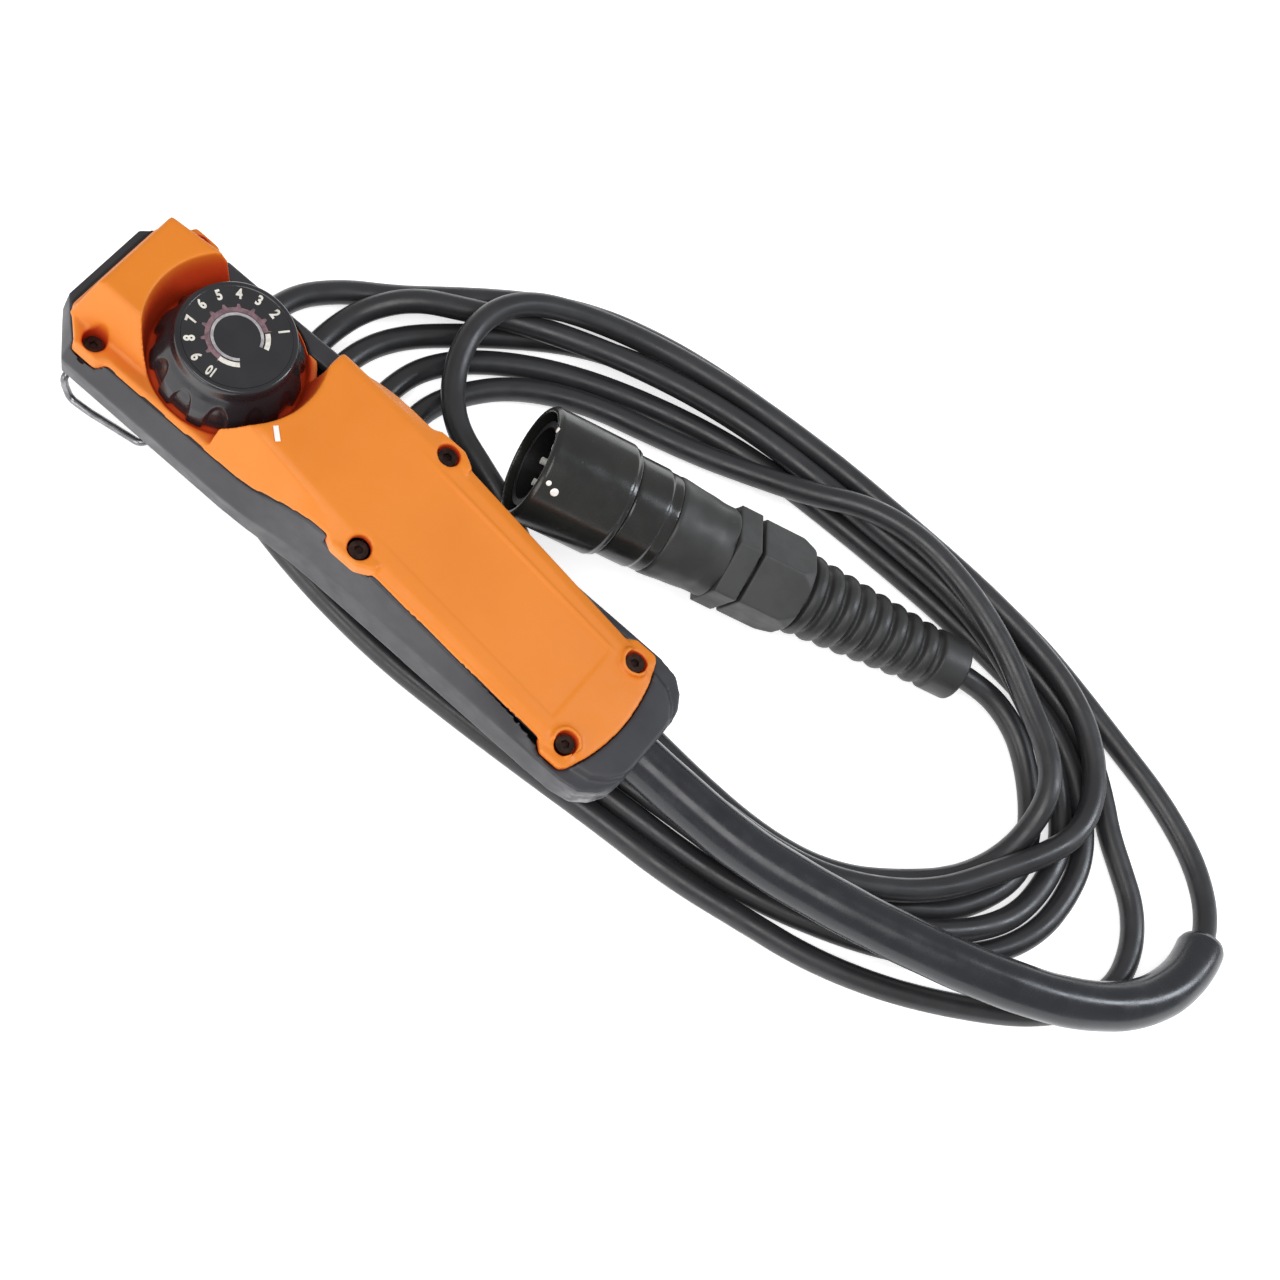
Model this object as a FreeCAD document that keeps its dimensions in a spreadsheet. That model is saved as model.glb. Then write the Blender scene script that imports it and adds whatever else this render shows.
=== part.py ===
import FreeCAD, Part
import math
import os
import Sketcher
from FreeCAD import Vector, Placement, Rotation

# Hand-held wired remote (pendant control station).
# Frame: origin on the surface it lies on, under the middle of the handset.
# +X runs along the handset from the head (knob) end to the cable end, +Z is up
# (the knob's axis), +Y is to the left seen from the cable end.  Millimetres.
# The handset lies on its own coiled cable; the coil and the plug lie on z = 0.

doc = FreeCAD.newDocument("pendant_remote")
sheet = doc.addObject("Spreadsheet::Sheet", "Dims")

DIMS = [
    ("handset_len", 219.0), ("head_end_pos", 110.0), ("back_height", 16.0), ("edge_height", 24.0),
    ("keel_height", 34.7), ("wall_thick", 2.6), ("cover_wall", 2.3), ("seam_gap", 0.8),
    ("knob_pos", 62.1), ("knob_base_z", 43.9), ("knob_face_z", 62.5), ("knob_skirt_rad", 23.2),
    ("knob_face_rad", 17.7), ("knob_hub_rad", 7.0), ("knob_bore_rad", 3.0), ("pot_bore_rad", 3.05), ("flute_rad", 3.6),
    ("flute_pitch_rad", 23.8), ("flute_count", 12.0), ("dial_rad", 16.5), ("dial_thick", 0.5),
    ("bowl_floor_z", 43.4), ("bowl_low_rad", 23.8), ("bowl_top_rad", 28.2), ("bowl_top_z", 63.0),
    ("cup_rad", 24.9), ("cup_floor_thick", 2.4),
    ("shaft_rad", 3.0), ("shaft_len", 21.0), ("bushing_rad", 4.6), ("bushing_len", 7.0),
    ("pot_rad", 8.6), ("pot_len", 9.3), ("pot_base_z", 29.5), ("nut_thick", 2.0), ("nut_size_rad", 6.4),
    ("seal_rad", 7.5), ("board_len", 80.0), ("board_wide", 38.0), ("board_thick", 1.6),
    ("board_z", 27.9), ("post_rad", 2.6), ("board_screw_rad", 1.25), ("board_head_rad", 2.4),
    ("term_len", 14.0), ("term_wide", 24.0), ("term_high", 9.0), ("wire_rad", 0.8),
    ("screw_head_rad", 3.0), ("screw_head_thick", 2.4), ("screw_rad", 1.5), ("screw_len", 9.0),
    ("insert_rad", 2.5), ("insert_len", 6.0), ("boss_rad", 3.6), ("recess_rad", 3.7),
    ("cable_dia", 8.0), ("sleeve_dia", 16.0), ("sleeve_bore_dia", 8.6), ("coil_high", 16.0), ("layer_high", 8.0),
    ("strap_wide", 5.0), ("strap_thick", 0.9), ("strap_foot", 13.9), ("clip_wire_rad", 1.2),
    ("clip_half_wide", 25.0), ("clip_pivot_x", 99.5), ("clip_pivot_z", 14.2), ("clip_hole_rad", 1.26),
    ("plug_x", 26.446), ("plug_y", 46.963), ("plug_z", 39.354), ("plug_angle", 22.8073), ("plug_tilt", 10.4136),
    ("ring_rad", 19.0), ("ring_len", 27.0), ("ring_bore_rad", 16.7), ("ring_web_rad", 14.25),
    ("barrel_rad", 14.2), ("barrel_bore_rad", 12.2), ("barrel_front", -1.5), ("insert_front", 8.0),
    ("rear_ring_rad", 17.0), ("rear_ring_end", 43.0), ("shell_rad_a", 16.4), ("shell_rad_b", 15.2),
    ("shell_end", 65.0), ("hex_rad", 17.4), ("hex_end", 73.0), ("nut_start", 74.5), ("nut_end", 94.0),
    ("nut_hex_rad", 16.9), ("boot_end", 159.0), ("boot_rad_a", 13.6), ("boot_rad_b", 10.6),
    ("collar_rad", 10.4), ("boot_bore_rad", 4.1), ("pin_rad", 1.2), ("pin_circle", 7.4), ("pin_tip", 2.0),
]
for i, (alias, val) in enumerate(DIMS, start=1):
    sheet.set("A%d" % i, alias)
    sheet.set("B%d" % i, str(val))
    sheet.setAlias("B%d" % i, alias)
doc.recompute()


def dim(alias):
    return float(sheet.get(alias))


NODES = []


def node(obj, name):
    obj.Label = name
    NODES.append(obj)
    return obj


def feature(name, shape, placement=None):
    f = doc.addObject("Part::Feature", name + "_part")
    f.Shape = shape
    if placement is not None:
        f.Placement = placement
    return node(f, name)


def num(v):
    return dim(v) if isinstance(v, str) else float(v)


def expr(v):
    return "Dims." + v if isinstance(v, str) else None


def cyl(name, rad, height, base=(0, 0, 0), direction=(0, 0, 1)):
    c = doc.addObject("Part::Cylinder", name)
    c.Radius = num(rad)
    c.Height = num(height)
    if expr(rad):
        c.setExpression("Radius", expr(rad))
    if expr(height):
        c.setExpression("Height", expr(height))
    c.Placement = Placement(Vector(*base), Rotation(Vector(0, 0, 1), Vector(*direction)))
    return c


def box(name, size, base):
    b = doc.addObject("Part::Box", name)
    for prop, v in zip(("Length", "Width", "Height"), size):
        setattr(b, prop, num(v))
        if expr(v):
            b.setExpression(prop, expr(v))
    b.Placement = Placement(Vector(*base), Rotation())
    return b


def cut(name, base, tool):
    c = doc.addObject("Part::Cut", name)
    c.Base = base
    c.Tool = tool
    return c


def fuse(name, shapes):
    c = doc.addObject("Part::MultiFuse", name)
    c.Shapes = shapes
    return c


def group(name, shapes):
    c = doc.addObject("Part::Compound", name)
    c.Links = shapes
    return c


def plane(body, role):
    return [o for o in body.Origin.OriginFeatures if o.Role == role][0]


def profile(body, name, role, verts):
    """Closed polygon sketch; every vertex is dimensioned from the sketch origin."""
    sk = body.newObject("Sketcher::SketchObject", name)
    sk.AttachmentSupport = (plane(body, role), [""])
    sk.MapMode = "FlatFace"
    pts = [Vector(num(a), num(b), 0) for a, b in verts]
    n = len(pts)
    for i in range(n):
        sk.addGeometry(Part.LineSegment(pts[i], pts[(i + 1) % n]), False)
    for i in range(n):
        sk.addConstraint(Sketcher.Constraint("Coincident", i, 2, (i + 1) % n, 1))
    for i, (a, b) in enumerate(verts):
        for kind, v, axis in (("DistanceX", a, -2), ("DistanceY", b, -1)):
            if abs(num(v)) < 1e-9:
                sk.addConstraint(Sketcher.Constraint("PointOnObject", i, 1, axis))
            else:
                k = sk.addConstraint(Sketcher.Constraint(kind, -1, 1, i, 1, num(v)))
                if expr(v):
                    sk.setExpression("Constraints[%d]" % k, expr(v))
    return sk


def revolved(name, role, axis, verts):
    """Body turned from a polygon: role XZ_Plane with V_Axis is about Z, XY_Plane with H_Axis about X."""
    body = doc.addObject("PartDesign::Body", name + "_body")
    sk = profile(body, name + "_profile", role, verts)
    rev = body.newObject("PartDesign::Revolution", name + "_turned")
    rev.Profile = sk
    rev.ReferenceAxis = (sk, [axis])
    rev.Angle = 360.0
    body.Tip = rev
    return body


def fx(x):
    """Distance from the head end to the frame's X."""
    return x - dim("head_end_pos")


# ---------------------------------------------------------------- handset section table
# distance from head end, half width at the back face, at the lower edge, at the keel line,
# at the parting line, and the parting line's height
SEC = [
    (0.0, 12.0, 15.5, 17.0, 15.5, 43.0), (5.5, 17.0, 21.8, 23.6, 21.2, 43.0), (11.0, 22.0, 28.0, 30.0, 26.5, 43.1),
    (35.0, 22.0, 28.0, 30.0, 26.5, 43.6), (60.0, 22.0, 28.0, 30.0, 26.5, 44.3), (74.0, 22.0, 28.0, 30.0, 26.6, 45.0),
    (80.0, 21.6, 27.8, 29.6, 26.6, 46.4), (86.0, 21.0, 27.4, 28.9, 26.3, 49.2), (92.0, 20.4, 26.9, 27.8, 25.7, 51.4),
    (99.0, 19.8, 26.4, 26.7, 25.0, 52.6), (107.0, 19.4, 26.2, 26.1, 24.5, 52.6), (122.0, 19.2, 26.3, 26.0, 24.0, 50.3),
    (158.0, 19.4, 26.6, 26.3, 23.2, 43.3), (194.0, 19.6, 27.0, 26.6, 22.3, 36.6), (204.0, 19.2, 26.8, 26.6, 21.8, 35.6),
    (211.0, 17.6, 25.4, 25.4, 20.4, 35.3), (215.5, 14.4, 21.6, 21.6, 17.0, 35.2), (218.2, 11.0, 17.0, 17.0, 13.0, 35.1),
    (219.0, 8.5, 13.0, 13.0, 9.6, 35.0),
]
ZB, ZE, ZK = dim("back_height"), dim("edge_height"), dim("keel_height")
WALL, CW, SEAM = dim("wall_thick"), dim("cover_wall"), dim("seam_gap")


def interp(x, col):
    for a, b in zip(SEC, SEC[1:]):
        if a[0] <= x <= b[0]:
            t = (x - a[0]) / (b[0] - a[0])
            return a[col] + t * (b[col] - a[col])
    return SEC[-1][col] if x > SEC[-1][0] else SEC[0][col]


def section(x, pts):
    """Closed polygon at station x from the right-hand half's points, bottom to top."""
    right = [Vector(fx(x), y, z) for y, z in pts]
    left = [Vector(fx(x), -y, z) for y, z in reversed(pts)]
    return Part.makePolygon(right + left + [right[0]])


def loft(stations, half):
    return Part.makeLoft([section(x, half(x)) for x in stations], True, True)


XS = [s[0] for s in SEC]


def housing_half(x):
    return [(interp(x, 1), ZB), (interp(x, 2), ZE), (interp(x, 3), ZK), (interp(x, 4), interp(x, 5) - SEAM)]


def housing_inner(x):
    k = WALL
    return [(interp(x, 1) - 1.4, ZB + k), (interp(x, 2) - k, ZE + 0.6), (interp(x, 3) - k, ZK), (interp(x, 4) - k, interp(x, 5) + 4)]


def inner_stations(a, b):
    return [a] + [x for x in XS if a + 1.5 < x < b - 1.5] + [b]


def plateau(x):
    """Height of the handle's flat, inclined top."""
    return 62.6 - 0.193 * max(0.0, x - 74.0)


def crown_half(x, inset=0.0, drop=0.0):
    """Right-hand half of the raised handle crown."""
    yp, zp, zt = interp(x, 4), interp(x, 5), plateau(x)
    yt = min(yp - 1.6, 19.0 + 0.05 * max(0.0, x - 62.0))
    if inset:
        return [(yp - inset - 0.4, zp - 4.0), (yp - inset - 0.4, zp + 0.2), (yt - inset, zt - 0.9 - drop), (yt - inset - 1.2, zt - drop)]
    return [(yp, zp), (yp - 0.5, zp + 1.6), (yt, zt - 0.9), (yt - 2.4, zt)]


KX = -dim("knob_pos")
bowl = Part.makeCone(dim("bowl_low_rad"), dim("bowl_top_rad"), dim("bowl_top_z") - dim("bowl_floor_z"),
                     Vector(KX, 0, dim("bowl_floor_z")))
bowl = bowl.fuse(Part.makeCylinder(dim("bowl_top_rad"), 12.0, Vector(KX, 0, dim("bowl_top_z"))))

# screw positions: distance from head end, half spacing, top of head
SCREWS = [(16.2, 23.0, 41.6), (115.6, 21.2, 52.0), (198.7, 17.9, 37.6)]
SCREW_PTS = [(fx(x), s * y, z) for x, y, z in SCREWS for s in (-1, 1)]


def lug(points, z_low, z_high, grow=0.0):
    solids = []
    for s in (-1, 1):
        w = Part.makePolygon([Vector(fx(x), s * (y + grow), z_low) for x, y in points] + [Vector(fx(points[0][0]), s * (points[0][1] + grow), z_low)])
        solids.append(Part.Face(w).extrude(Vector(0, 0, z_high - z_low)))
    return solids


LUG_A = [(104.5, 21.0), (104.5, 23.4), (109.5, 26.2), (118.5, 26.2), (123.5, 23.4), (123.5, 21.0)]
LUG_B = [(191.0, 19.5), (191.5, 22.2), (194.5, 24.8), (202.0, 24.8), (204.0, 22.6), (204.0, 19.5)]
LUG_H = [(7.5, 18.0), (12.0, 27.8), (20.5, 27.8), (25.0, 25.0), (25.0, 18.0)]


# ---------------------------------------------------------------- cable routes
def route(points):
    """Straight runs joined by tangent arcs, each as large as its two runs allow."""
    p = [Vector(*q) for q in points]
    segs, radii, start = [], [], p[0]
    for i in range(1, len(p) - 1):
        a, b = p[i - 1] - p[i], p[i + 1] - p[i]
        run = min(a.Length, b.Length)
        ua, ub = Vector(a).normalize(), Vector(b).normalize()
        turn = math.pi - ua.getAngle(ub)
        back = 0.45 * run
        rad = back / math.tan(turn / 2)
        radii.append(rad)
        t1, t2 = p[i] + ua * back, p[i] + ub * back
        bis = (ua + ub).normalize()
        centre = p[i] + bis * (rad / math.cos(turn / 2))
        mid = centre - bis * rad
        segs.append(Part.LineSegment(start, t1).toShape())
        segs.append(Part.Arc(t1, mid, t2).toShape())
        start = t2
    segs.append(Part.LineSegment(start, p[-1]).toShape())
    return segs, radii


def tube(edges, rad):
    path = Part.Wire(edges)
    first = edges[0]
    t = first.tangentAt(first.FirstParameter)
    pos = first.valueAt(first.FirstParameter)
    prof = Part.Wire(Part.makeCircle(rad, pos, t))
    solid = path.makePipeShell([prof], True, False)
    want = math.pi * rad * rad * path.Length
    print("  tube r %.2f length %.1f volume/section*length %.4f" % (rad, path.Length, solid.Volume / want))
    return solid


LEAD = [(80, 0, 26.8), (103, 0, 26.8), (127, 0.5, 24.5), (152, 1.0, 24.35), (180, 6.4, 24.4), (209, 14.2, 24.45),
        (238, 24.0, 24.4), (264, 37.0, 22.4), (282.5, 55.0, 17.6), (291.0, 76.5, 12.4), (289.5, 98, 8.0),
        (276, 115.0, 4.8), (253, 125.8, 4.1), (229, 131.4, 4.05), (207, 136.6, 4.05)]
lead_edges, lead_radii = route(LEAD)
print("lead radii", [round(r) for r in lead_radii])
R_CABLE, R_SLEEVE = dim("cable_dia") / 2, dim("sleeve_dia") / 2

c17, s17 = math.cos(math.radians(dim("plug_angle"))), math.sin(math.radians(dim("plug_angle")))
ct, st = math.cos(math.radians(dim("plug_tilt"))), math.sin(math.radians(dim("plug_tilt")))


def plug_point(s):
    """A point on the plug's axis: its mouth is propped up on the coil, its boot reaches down to the floor."""
    return (dim("plug_x") + s * c17 * ct, dim("plug_y") + s * s17 * ct, dim("plug_z") - s * st)


TAIL = [plug_point(148.0), plug_point(168.0), (197.7, 109.1, 6.6), (212.7, 98.3, 4.6), (223.9, 83.1, 4.3), (228.9, 66.0, 4.1)]
tail_edges, tail_radii = route(TAIL)
print("tail radii", [round(r) for r in tail_radii])

# ---------------------------------------------------------------- bottom housing
END_X = 208.6


def rounded_end(radius):
    """Everything on the head's side of the cover's rounded cable end."""
    centre = END_X - 58.0
    return Part.makeCylinder(radius, 60.0, Vector(fx(centre), 0, 20)).fuse(Part.makeBox(centre, 120.0, 60.0, Vector(fx(0.0), -60.0, 20.0)))


def side_box(x0, x1, y0, z0):
    """Block on the handset's +Y side, used where the black rail replaces the cover's edge beside the knob."""
    return Part.makeBox(x1 - x0, 34.0 - y0, 70.0 - z0, Vector(fx(x0), y0, z0))


def cap_half(x):
    yp, zp = interp(x, 4), interp(x, 5)
    top = zp + (1.0 if x < 212.0 else 0.9)
    return [(yp - 0.3, zp - SEAM - 1.2), (yp, zp - SEAM), (yp - 1.3, top)]


def rail_half(x):
    yp, zp = interp(x, 4), interp(x, 5)
    return [(yp - 0.2, zp - SEAM - 1.0), (yp, zp - SEAM), (yp, zp + 0.8), (yp - 0.9, zp + 2.0)]


cavity = loft(inner_stations(2.6, 216.2), housing_inner).common(rounded_end(55.2).fuse(Part.makeBox(400, 120, 20.1, Vector(-200, -60, 0))))
cavity = cavity.cut(Part.makeBox(60.0, 120.0, 60.0, Vector(fx(206.0), -60.0, 0.0)))
end_cap = loft([198.0, 204.0, 211.0, 215.5, 218.2, 219.0], cap_half).cut(rounded_end(58.15))
rail = loft([20.0, 35.0, 60.0, 74.0, 80.0], rail_half).common(side_box(25.8, 73.2, 19.7, 30.0))
housing = loft(XS, housing_half).cut(cavity).fuse([end_cap, rail])
bosses = []
for x, y, z in SCREW_PTS:
    top = z - dim("screw_head_thick") - 2.2
    bosses.append(Part.makeCylinder(dim("boss_rad"), top - ZB - 1.0, Vector(x, y, ZB + 1.0)))
inner_room = loft(inner_stations(1.2, 217.6), lambda x: [(interp(x, 1) - 0.6, ZB + 0.8), (interp(x, 2) - 1.0, ZE), (interp(x, 3) - 1.0, ZK), (interp(x, 4) - 0.9, interp(x, 5) - SEAM)])
POSTS = [(fx(x), y) for x in (24.0, 96.0) for y in (-15.5, 15.5)]
for x, y in POSTS:
    bosses.append(Part.makeCylinder(dim("post_rad"), dim("board_z") - ZB - 1.0, Vector(x, y, ZB + 1.0)))
housing = housing.fuse([b.common(inner_room) for b in bosses])
# ears that carry the wire clip's ends
PX, PZ = -dim("clip_pivot_x"), dim("clip_pivot_z")
for s in (-1, 1):
    ear = Part.makeBox(7.0, 4.0, 5.5, Vector(PX - 3.5, s * 19.0 - 2.0, PZ - 2.8))
    housing = housing.fuse(ear)
housing = housing.cut(Part.makeCylinder(dim("clip_hole_rad"), 50.0, Vector(PX, -25.0, PZ), Vector(0, 1, 0)))
for x, y, z in SCREW_PTS:
    top = z - dim("screw_head_thick") - 2.2
    housing = housing.cut(Part.makeCylinder(dim("insert_rad"), dim("insert_len") + 4.0, Vector(x, y, top - dim("insert_len"))))
    housing = housing.cut(Part.makeCylinder(1.9, 4.5, Vector(x, y, top - dim("insert_len") - 4.5)))
    housing = housing.cut(Part.makeCylinder(dim("recess_rad") + 1.4, 20.0, Vector(x, y, top - 0.02)))
for x, y in POSTS:
    housing = housing.cut(Part.makeCylinder(dim("board_screw_rad"), 7.0, Vector(x, y, dim("board_z") - 7.0)))
for pts, zl in ((LUG_A, 47.6), (LUG_B, 34.2), (LUG_H, 38.9)):
    for sol in lug(pts, zl - 0.1, 70.0, 0.12) + lug(pts, zl - 0.1, 70.0, -0.12):
        housing = housing.cut(sol)
housing = housing.cut(Part.makeCylinder(dim("cup_rad") + 0.25, 30.0, Vector(KX, 0, dim("bowl_floor_z") - dim("cup_floor_thick") - 0.2)))
housing = housing.cut(tube(lead_edges[:5], R_SLEEVE + 0.1))
for y in (-11.6, 11.6):
    housing = housing.cut(Part.makeCylinder(1.4, 1.7, Vector(87.0, y, ZB + 1.0)))
housing = housing.removeSplitter()
feature("bottom_housing", housing)

# ---------------------------------------------------------------- top cover
flange = loft([3.6, 5.5, 11.0, 35.0, 60.0, 74.0, 80.0, 84.0],
              lambda x: [(interp(x, 4) - (0.6 if x < 5 else 0.0), interp(x, 5)), (interp(x, 4) - 0.9, interp(x, 5) + 2.2)])
crown_x = [62.0, 74.0, 80.0, 86.0, 92.0, 99.0, 107.0, 122.0, 158.0, 194.0, 202.0, END_X]
crown = loft(crown_x, crown_half)


crown = crown.common(rounded_end(58.0))


def frustum(x0, x1, y0, z0, a0, a1, b0, z1, yr=None, br=None, br2=None):
    yr, br = yr or y0, br or b0
    br2 = br2 or br
    base = Part.makePolygon([Vector(fx(x0), -y0, z0), Vector(fx(x1), -y0, z0), Vector(fx(x1), yr, z0), Vector(fx(x0), yr, z0), Vector(fx(x0), -y0, z0)])
    top = Part.makePolygon([Vector(fx(a0), -b0, z1), Vector(fx(a1), -b0, z1), Vector(fx(a1), br2, z1), Vector(fx(a0), br, z1), Vector(fx(a0), -b0, z1)])
    return Part.makeLoft([base, top], True, True)


block = frustum(4.6, 44.0, 21.5, 44.0, 8.4, 44.0, 15.4, 62.0, 22.4, 16.2, 20.0)
block = block.makeFillet(1.6, [e for e in block.Edges if e.BoundBox.ZMin > 61.9 and e.BoundBox.XMin < fx(40.0)])
cup = Part.makeCylinder(dim("cup_rad"), 46.2 - dim("bowl_floor_z") + dim("cup_floor_thick"), Vector(KX, 0, dim("bowl_floor_z") - dim("cup_floor_thick")))
cover = flange.fuse([crown, block, cup])
for pts, zl, zh in ((LUG_A, 47.6, 53.6), (LUG_B, 34.2, 37.6), (LUG_H, 38.9, 45.2)):
    for sol in lug(pts, zl, zh):
        cover = cover.fuse(sol)
room = loft([64.0, 74.0, 80.0, 86.0, 92.0, 99.0, 107.0, 122.0, 158.0, 194.0, 203.5], lambda x: crown_half(x, CW, CW))
room = room.common(rounded_end(58.0 - CW))
room = room.fuse(frustum(7.4, 44.0, 18.6, 38.0, 11.4, 44.0, 12.8, 62.0 - CW))
keep = Part.makeCone(dim("bowl_low_rad") + 2.0, dim("bowl_top_rad") + 2.4, dim("bowl_top_z") - 41.0, Vector(KX, 0, 41.0))
room = room.cut(keep)
pads = []
for x, y, z in SCREW_PTS:
    seat = z - dim("screw_head_thick")
    pads.append(Part.makeCylinder(dim("recess_rad") + 1.2, 30.0, Vector(x, y, seat - 2.0)))
for pad in pads:
    room = room.cut(pad)
cover = cover.cut(room)
envelope = crown.fuse([block, flange])
for sols in (lug(LUG_A, 47.6, 53.6), lug(LUG_B, 34.2, 37.6), lug(LUG_H, 38.9, 45.2)):
    envelope = envelope.fuse(sols)
for (x, y, z), pad in zip(SCREW_PTS, pads):
    seat = z - dim("screw_head_thick")
    low = Part.makeCylinder(dim("recess_rad") + 1.2, 8.0, Vector(x, y, seat - 2.0))
    cover = cover.fuse([pad.common(envelope), low.common(cavity)] if z < 50 else [pad.common(envelope)])
cover = cover.cut(bowl)
beside = side_box(25.5, 73.5, 19.4, 40.0).cut(Part.makeCylinder(dim("cup_rad"), 8.2, Vector(KX, 0, 38.0)))
cover = cover.cut(beside).cut(side_box(44.0, 72.7, 12.0, 47.5))
for x, y, z in SCREW_PTS:
    seat = z - dim("screw_head_thick")
    cover = cover.cut(Part.makeCylinder(dim("recess_rad"), 30.0, Vector(x, y, seat)))
    cover = cover.cut(Part.makeCylinder(1.8, 14.0, Vector(x, y, seat - 9.0)))
cover = cover.cut(Part.makeCylinder(dim("bushing_rad") + 0.1, 12.0, Vector(KX, 0, 36.0)))

# white index mark let into the cover beside the knob
ma = Vector(fx(74.4), -13.6, plateau(74.4))
mb = Vector(fx(78.0), -16.6, plateau(78.0))
along = (mb - ma).normalize()
normal = Vector(0.193, 0, 1).normalize()
side = normal.cross(along).normalize()
mark = Part.makePolygon([ma + side * 0.8, mb + side * 0.8, mb - side * 0.8, ma - side * 0.8, ma + side * 0.8])
mark_solid = Part.Face(mark).extrude(normal * -0.6)
mark_solid.translate(normal * 0.08)
cover = cover.cut(mark_solid)
cover = cover.removeSplitter()
feature("top_cover", cover)
feature("index_mark", mark_solid)

# ---------------------------------------------------------------- seam gasket
def gasket_band(inset, z0, z1):
    return loft([2.0 + inset, 5.5, 11.0] + [x for x in XS if 11.0 < x < 207.0] + [209.0 - inset],
                lambda x: [(interp(x, 4) - inset, interp(x, 5) + z0), (interp(x, 4) - inset, interp(x, 5) + z1)])


gasket = gasket_band(0.6, -SEAM, 0.0).cut(gasket_band(2.2, -SEAM - 2.0, 2.0))
gasket = gasket.cut(Part.makeCylinder(dim("cup_rad") + 0.2, 30.0, Vector(KX, 0, 40.0)))
for pts, zl in ((LUG_A, 40.0), (LUG_B, 30.0), (LUG_H, 38.0)):
    for sol in lug(pts, zl, 70.0, 0.1):
        gasket = gasket.cut(sol)
for x, y, z in SCREW_PTS:
    gasket = gasket.cut(Part.makeCylinder(dim("recess_rad") + 1.5, 40.0, Vector(x, y, 30.0)))
gasket = gasket.cut(side_box(25.3, 73.7, 17.0, 30.0)).common(rounded_end(57.4))
gasket = gasket.cut(tube(lead_edges[:5], R_SLEEVE + 0.3))
feature("housing_gasket", gasket)

# ---------------------------------------------------------------- cover screws and inserts
parts_s, parts_i = [], []
for k, (x, y, z) in enumerate(SCREW_PTS):
    seat = z - dim("screw_head_thick")
    head = cyl("screw_head_%d" % k, "screw_head_rad", "screw_head_thick", (x, y, seat))
    shank = cyl("screw_shank_%d" % k, "screw_rad", "screw_len", (x, y, seat - dim("screw_len")))
    blank = fuse("screw_blank_%d" % k, [head, shank])
    socket = doc.addObject("Part::Prism", "screw_socket_%d" % k)
    socket.Polygon = 6
    socket.Circumradius = 1.5
    socket.Height = 2.0
    socket.Placement = Placement(Vector(x, y, z - 1.5), Rotation())
    parts_s.append(cut("cover_screw_%d" % k, blank, socket))
    outer = cyl("insert_outer_%d" % k, "insert_rad", "insert_len", (x, y, seat - 2.2 - dim("insert_len")))
    hole = cyl("insert_hole_%d" % k, "screw_rad", 20.0, (x, y, seat - 16.0))
    parts_i.append(cut("screw_insert_%d" % k, outer, hole))
node(group("cover_screw_set", parts_s), "cover_screws")
node(group("screw_insert_set", parts_i), "screw_inserts")

# ---------------------------------------------------------------- knob (turned, with fluted skirt)
knob = revolved("control_knob", "XZ_Plane", "V_Axis", [
    ("knob_bore_rad", 46.2), ("knob_hub_rad", 46.2), ("knob_hub_rad", 58.0), (15.5, 58.0), (20.2, 50.0), (21.0, "knob_base_z"),
    ("knob_skirt_rad", "knob_base_z"), ("knob_skirt_rad", 47.6), (22.3, 51.6), (20.2, 55.4), (18.8, 57.6), (18.6, 61.4),
    (18.2, 62.2), ("knob_face_rad", "knob_face_z"), (16.6, "knob_face_z"), (16.6, 61.9), (0, 61.9), (0, 59.6), ("knob_bore_rad", 59.6)])
fl = knob.newObject("Sketcher::SketchObject", "flute_profile")
fl.AttachmentSupport = (plane(knob, "XY_Plane"), [""])
fl.MapMode = "FlatFace"
fl.addGeometry(Part.Circle(Vector(dim("flute_pitch_rad"), 0, 0), Vector(0, 0, 1), dim("flute_rad")), False)
fl.addConstraint(Sketcher.Constraint("PointOnObject", 0, 3, -1))
k1 = fl.addConstraint(Sketcher.Constraint("DistanceX", -1, 1, 0, 3, dim("flute_pitch_rad")))
k2 = fl.addConstraint(Sketcher.Constraint("Radius", 0, dim("flute_rad")))
fl.setExpression("Constraints[%d]" % k1, "Dims.flute_pitch_rad")
fl.setExpression("Constraints[%d]" % k2, "Dims.flute_rad")
doc.recompute()
before = knob.Shape.Volume
flute = knob.newObject("PartDesign::Pocket", "flute")
flute.Profile = fl
flute.Length = 56.2
flute.Reversed = True
flute.Midplane = False
knob.Tip = flute
doc.recompute()
if knob.Shape.Volume >= before - 1.0:
    flute.Reversed = False
    doc.recompute()
assert knob.Shape.Volume < before - 1.0, "flute cut nothing"
pat = knob.newObject("PartDesign::PolarPattern", "flutes")
pat.Originals = [flute]
pat.Axis = ([o for o in knob.Origin.OriginFeatures if o.Role == "Z_Axis"][0], [""])
pat.Angle = 360.0
pat.Occurrences = 12
knob.Tip = pat
doc.recompute()
knob.Placement = Placement(Vector(KX, 0, 0), Rotation())
screw_hole = cyl("knob_screw_hole", 1.5, 26.0, (KX, 0, 50.5), (0, 1, 0))
knob_cut = cut("control_knob_drilled", knob, screw_hole)
node(knob_cut, "control_knob")
node(cyl("dial_disc", "dial_rad", "dial_thick", (KX, 0, 61.9)), "knob_dial")
node(cut("grub_screw_cut", cyl("grub_screw", 1.5, 5.0, (KX, 2.5, 50.5), (0, 1, 0)), cyl("grub_screw_seat", "shaft_rad", 10.0, (KX, 0, 45.5))), "knob_set_screw")

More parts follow.
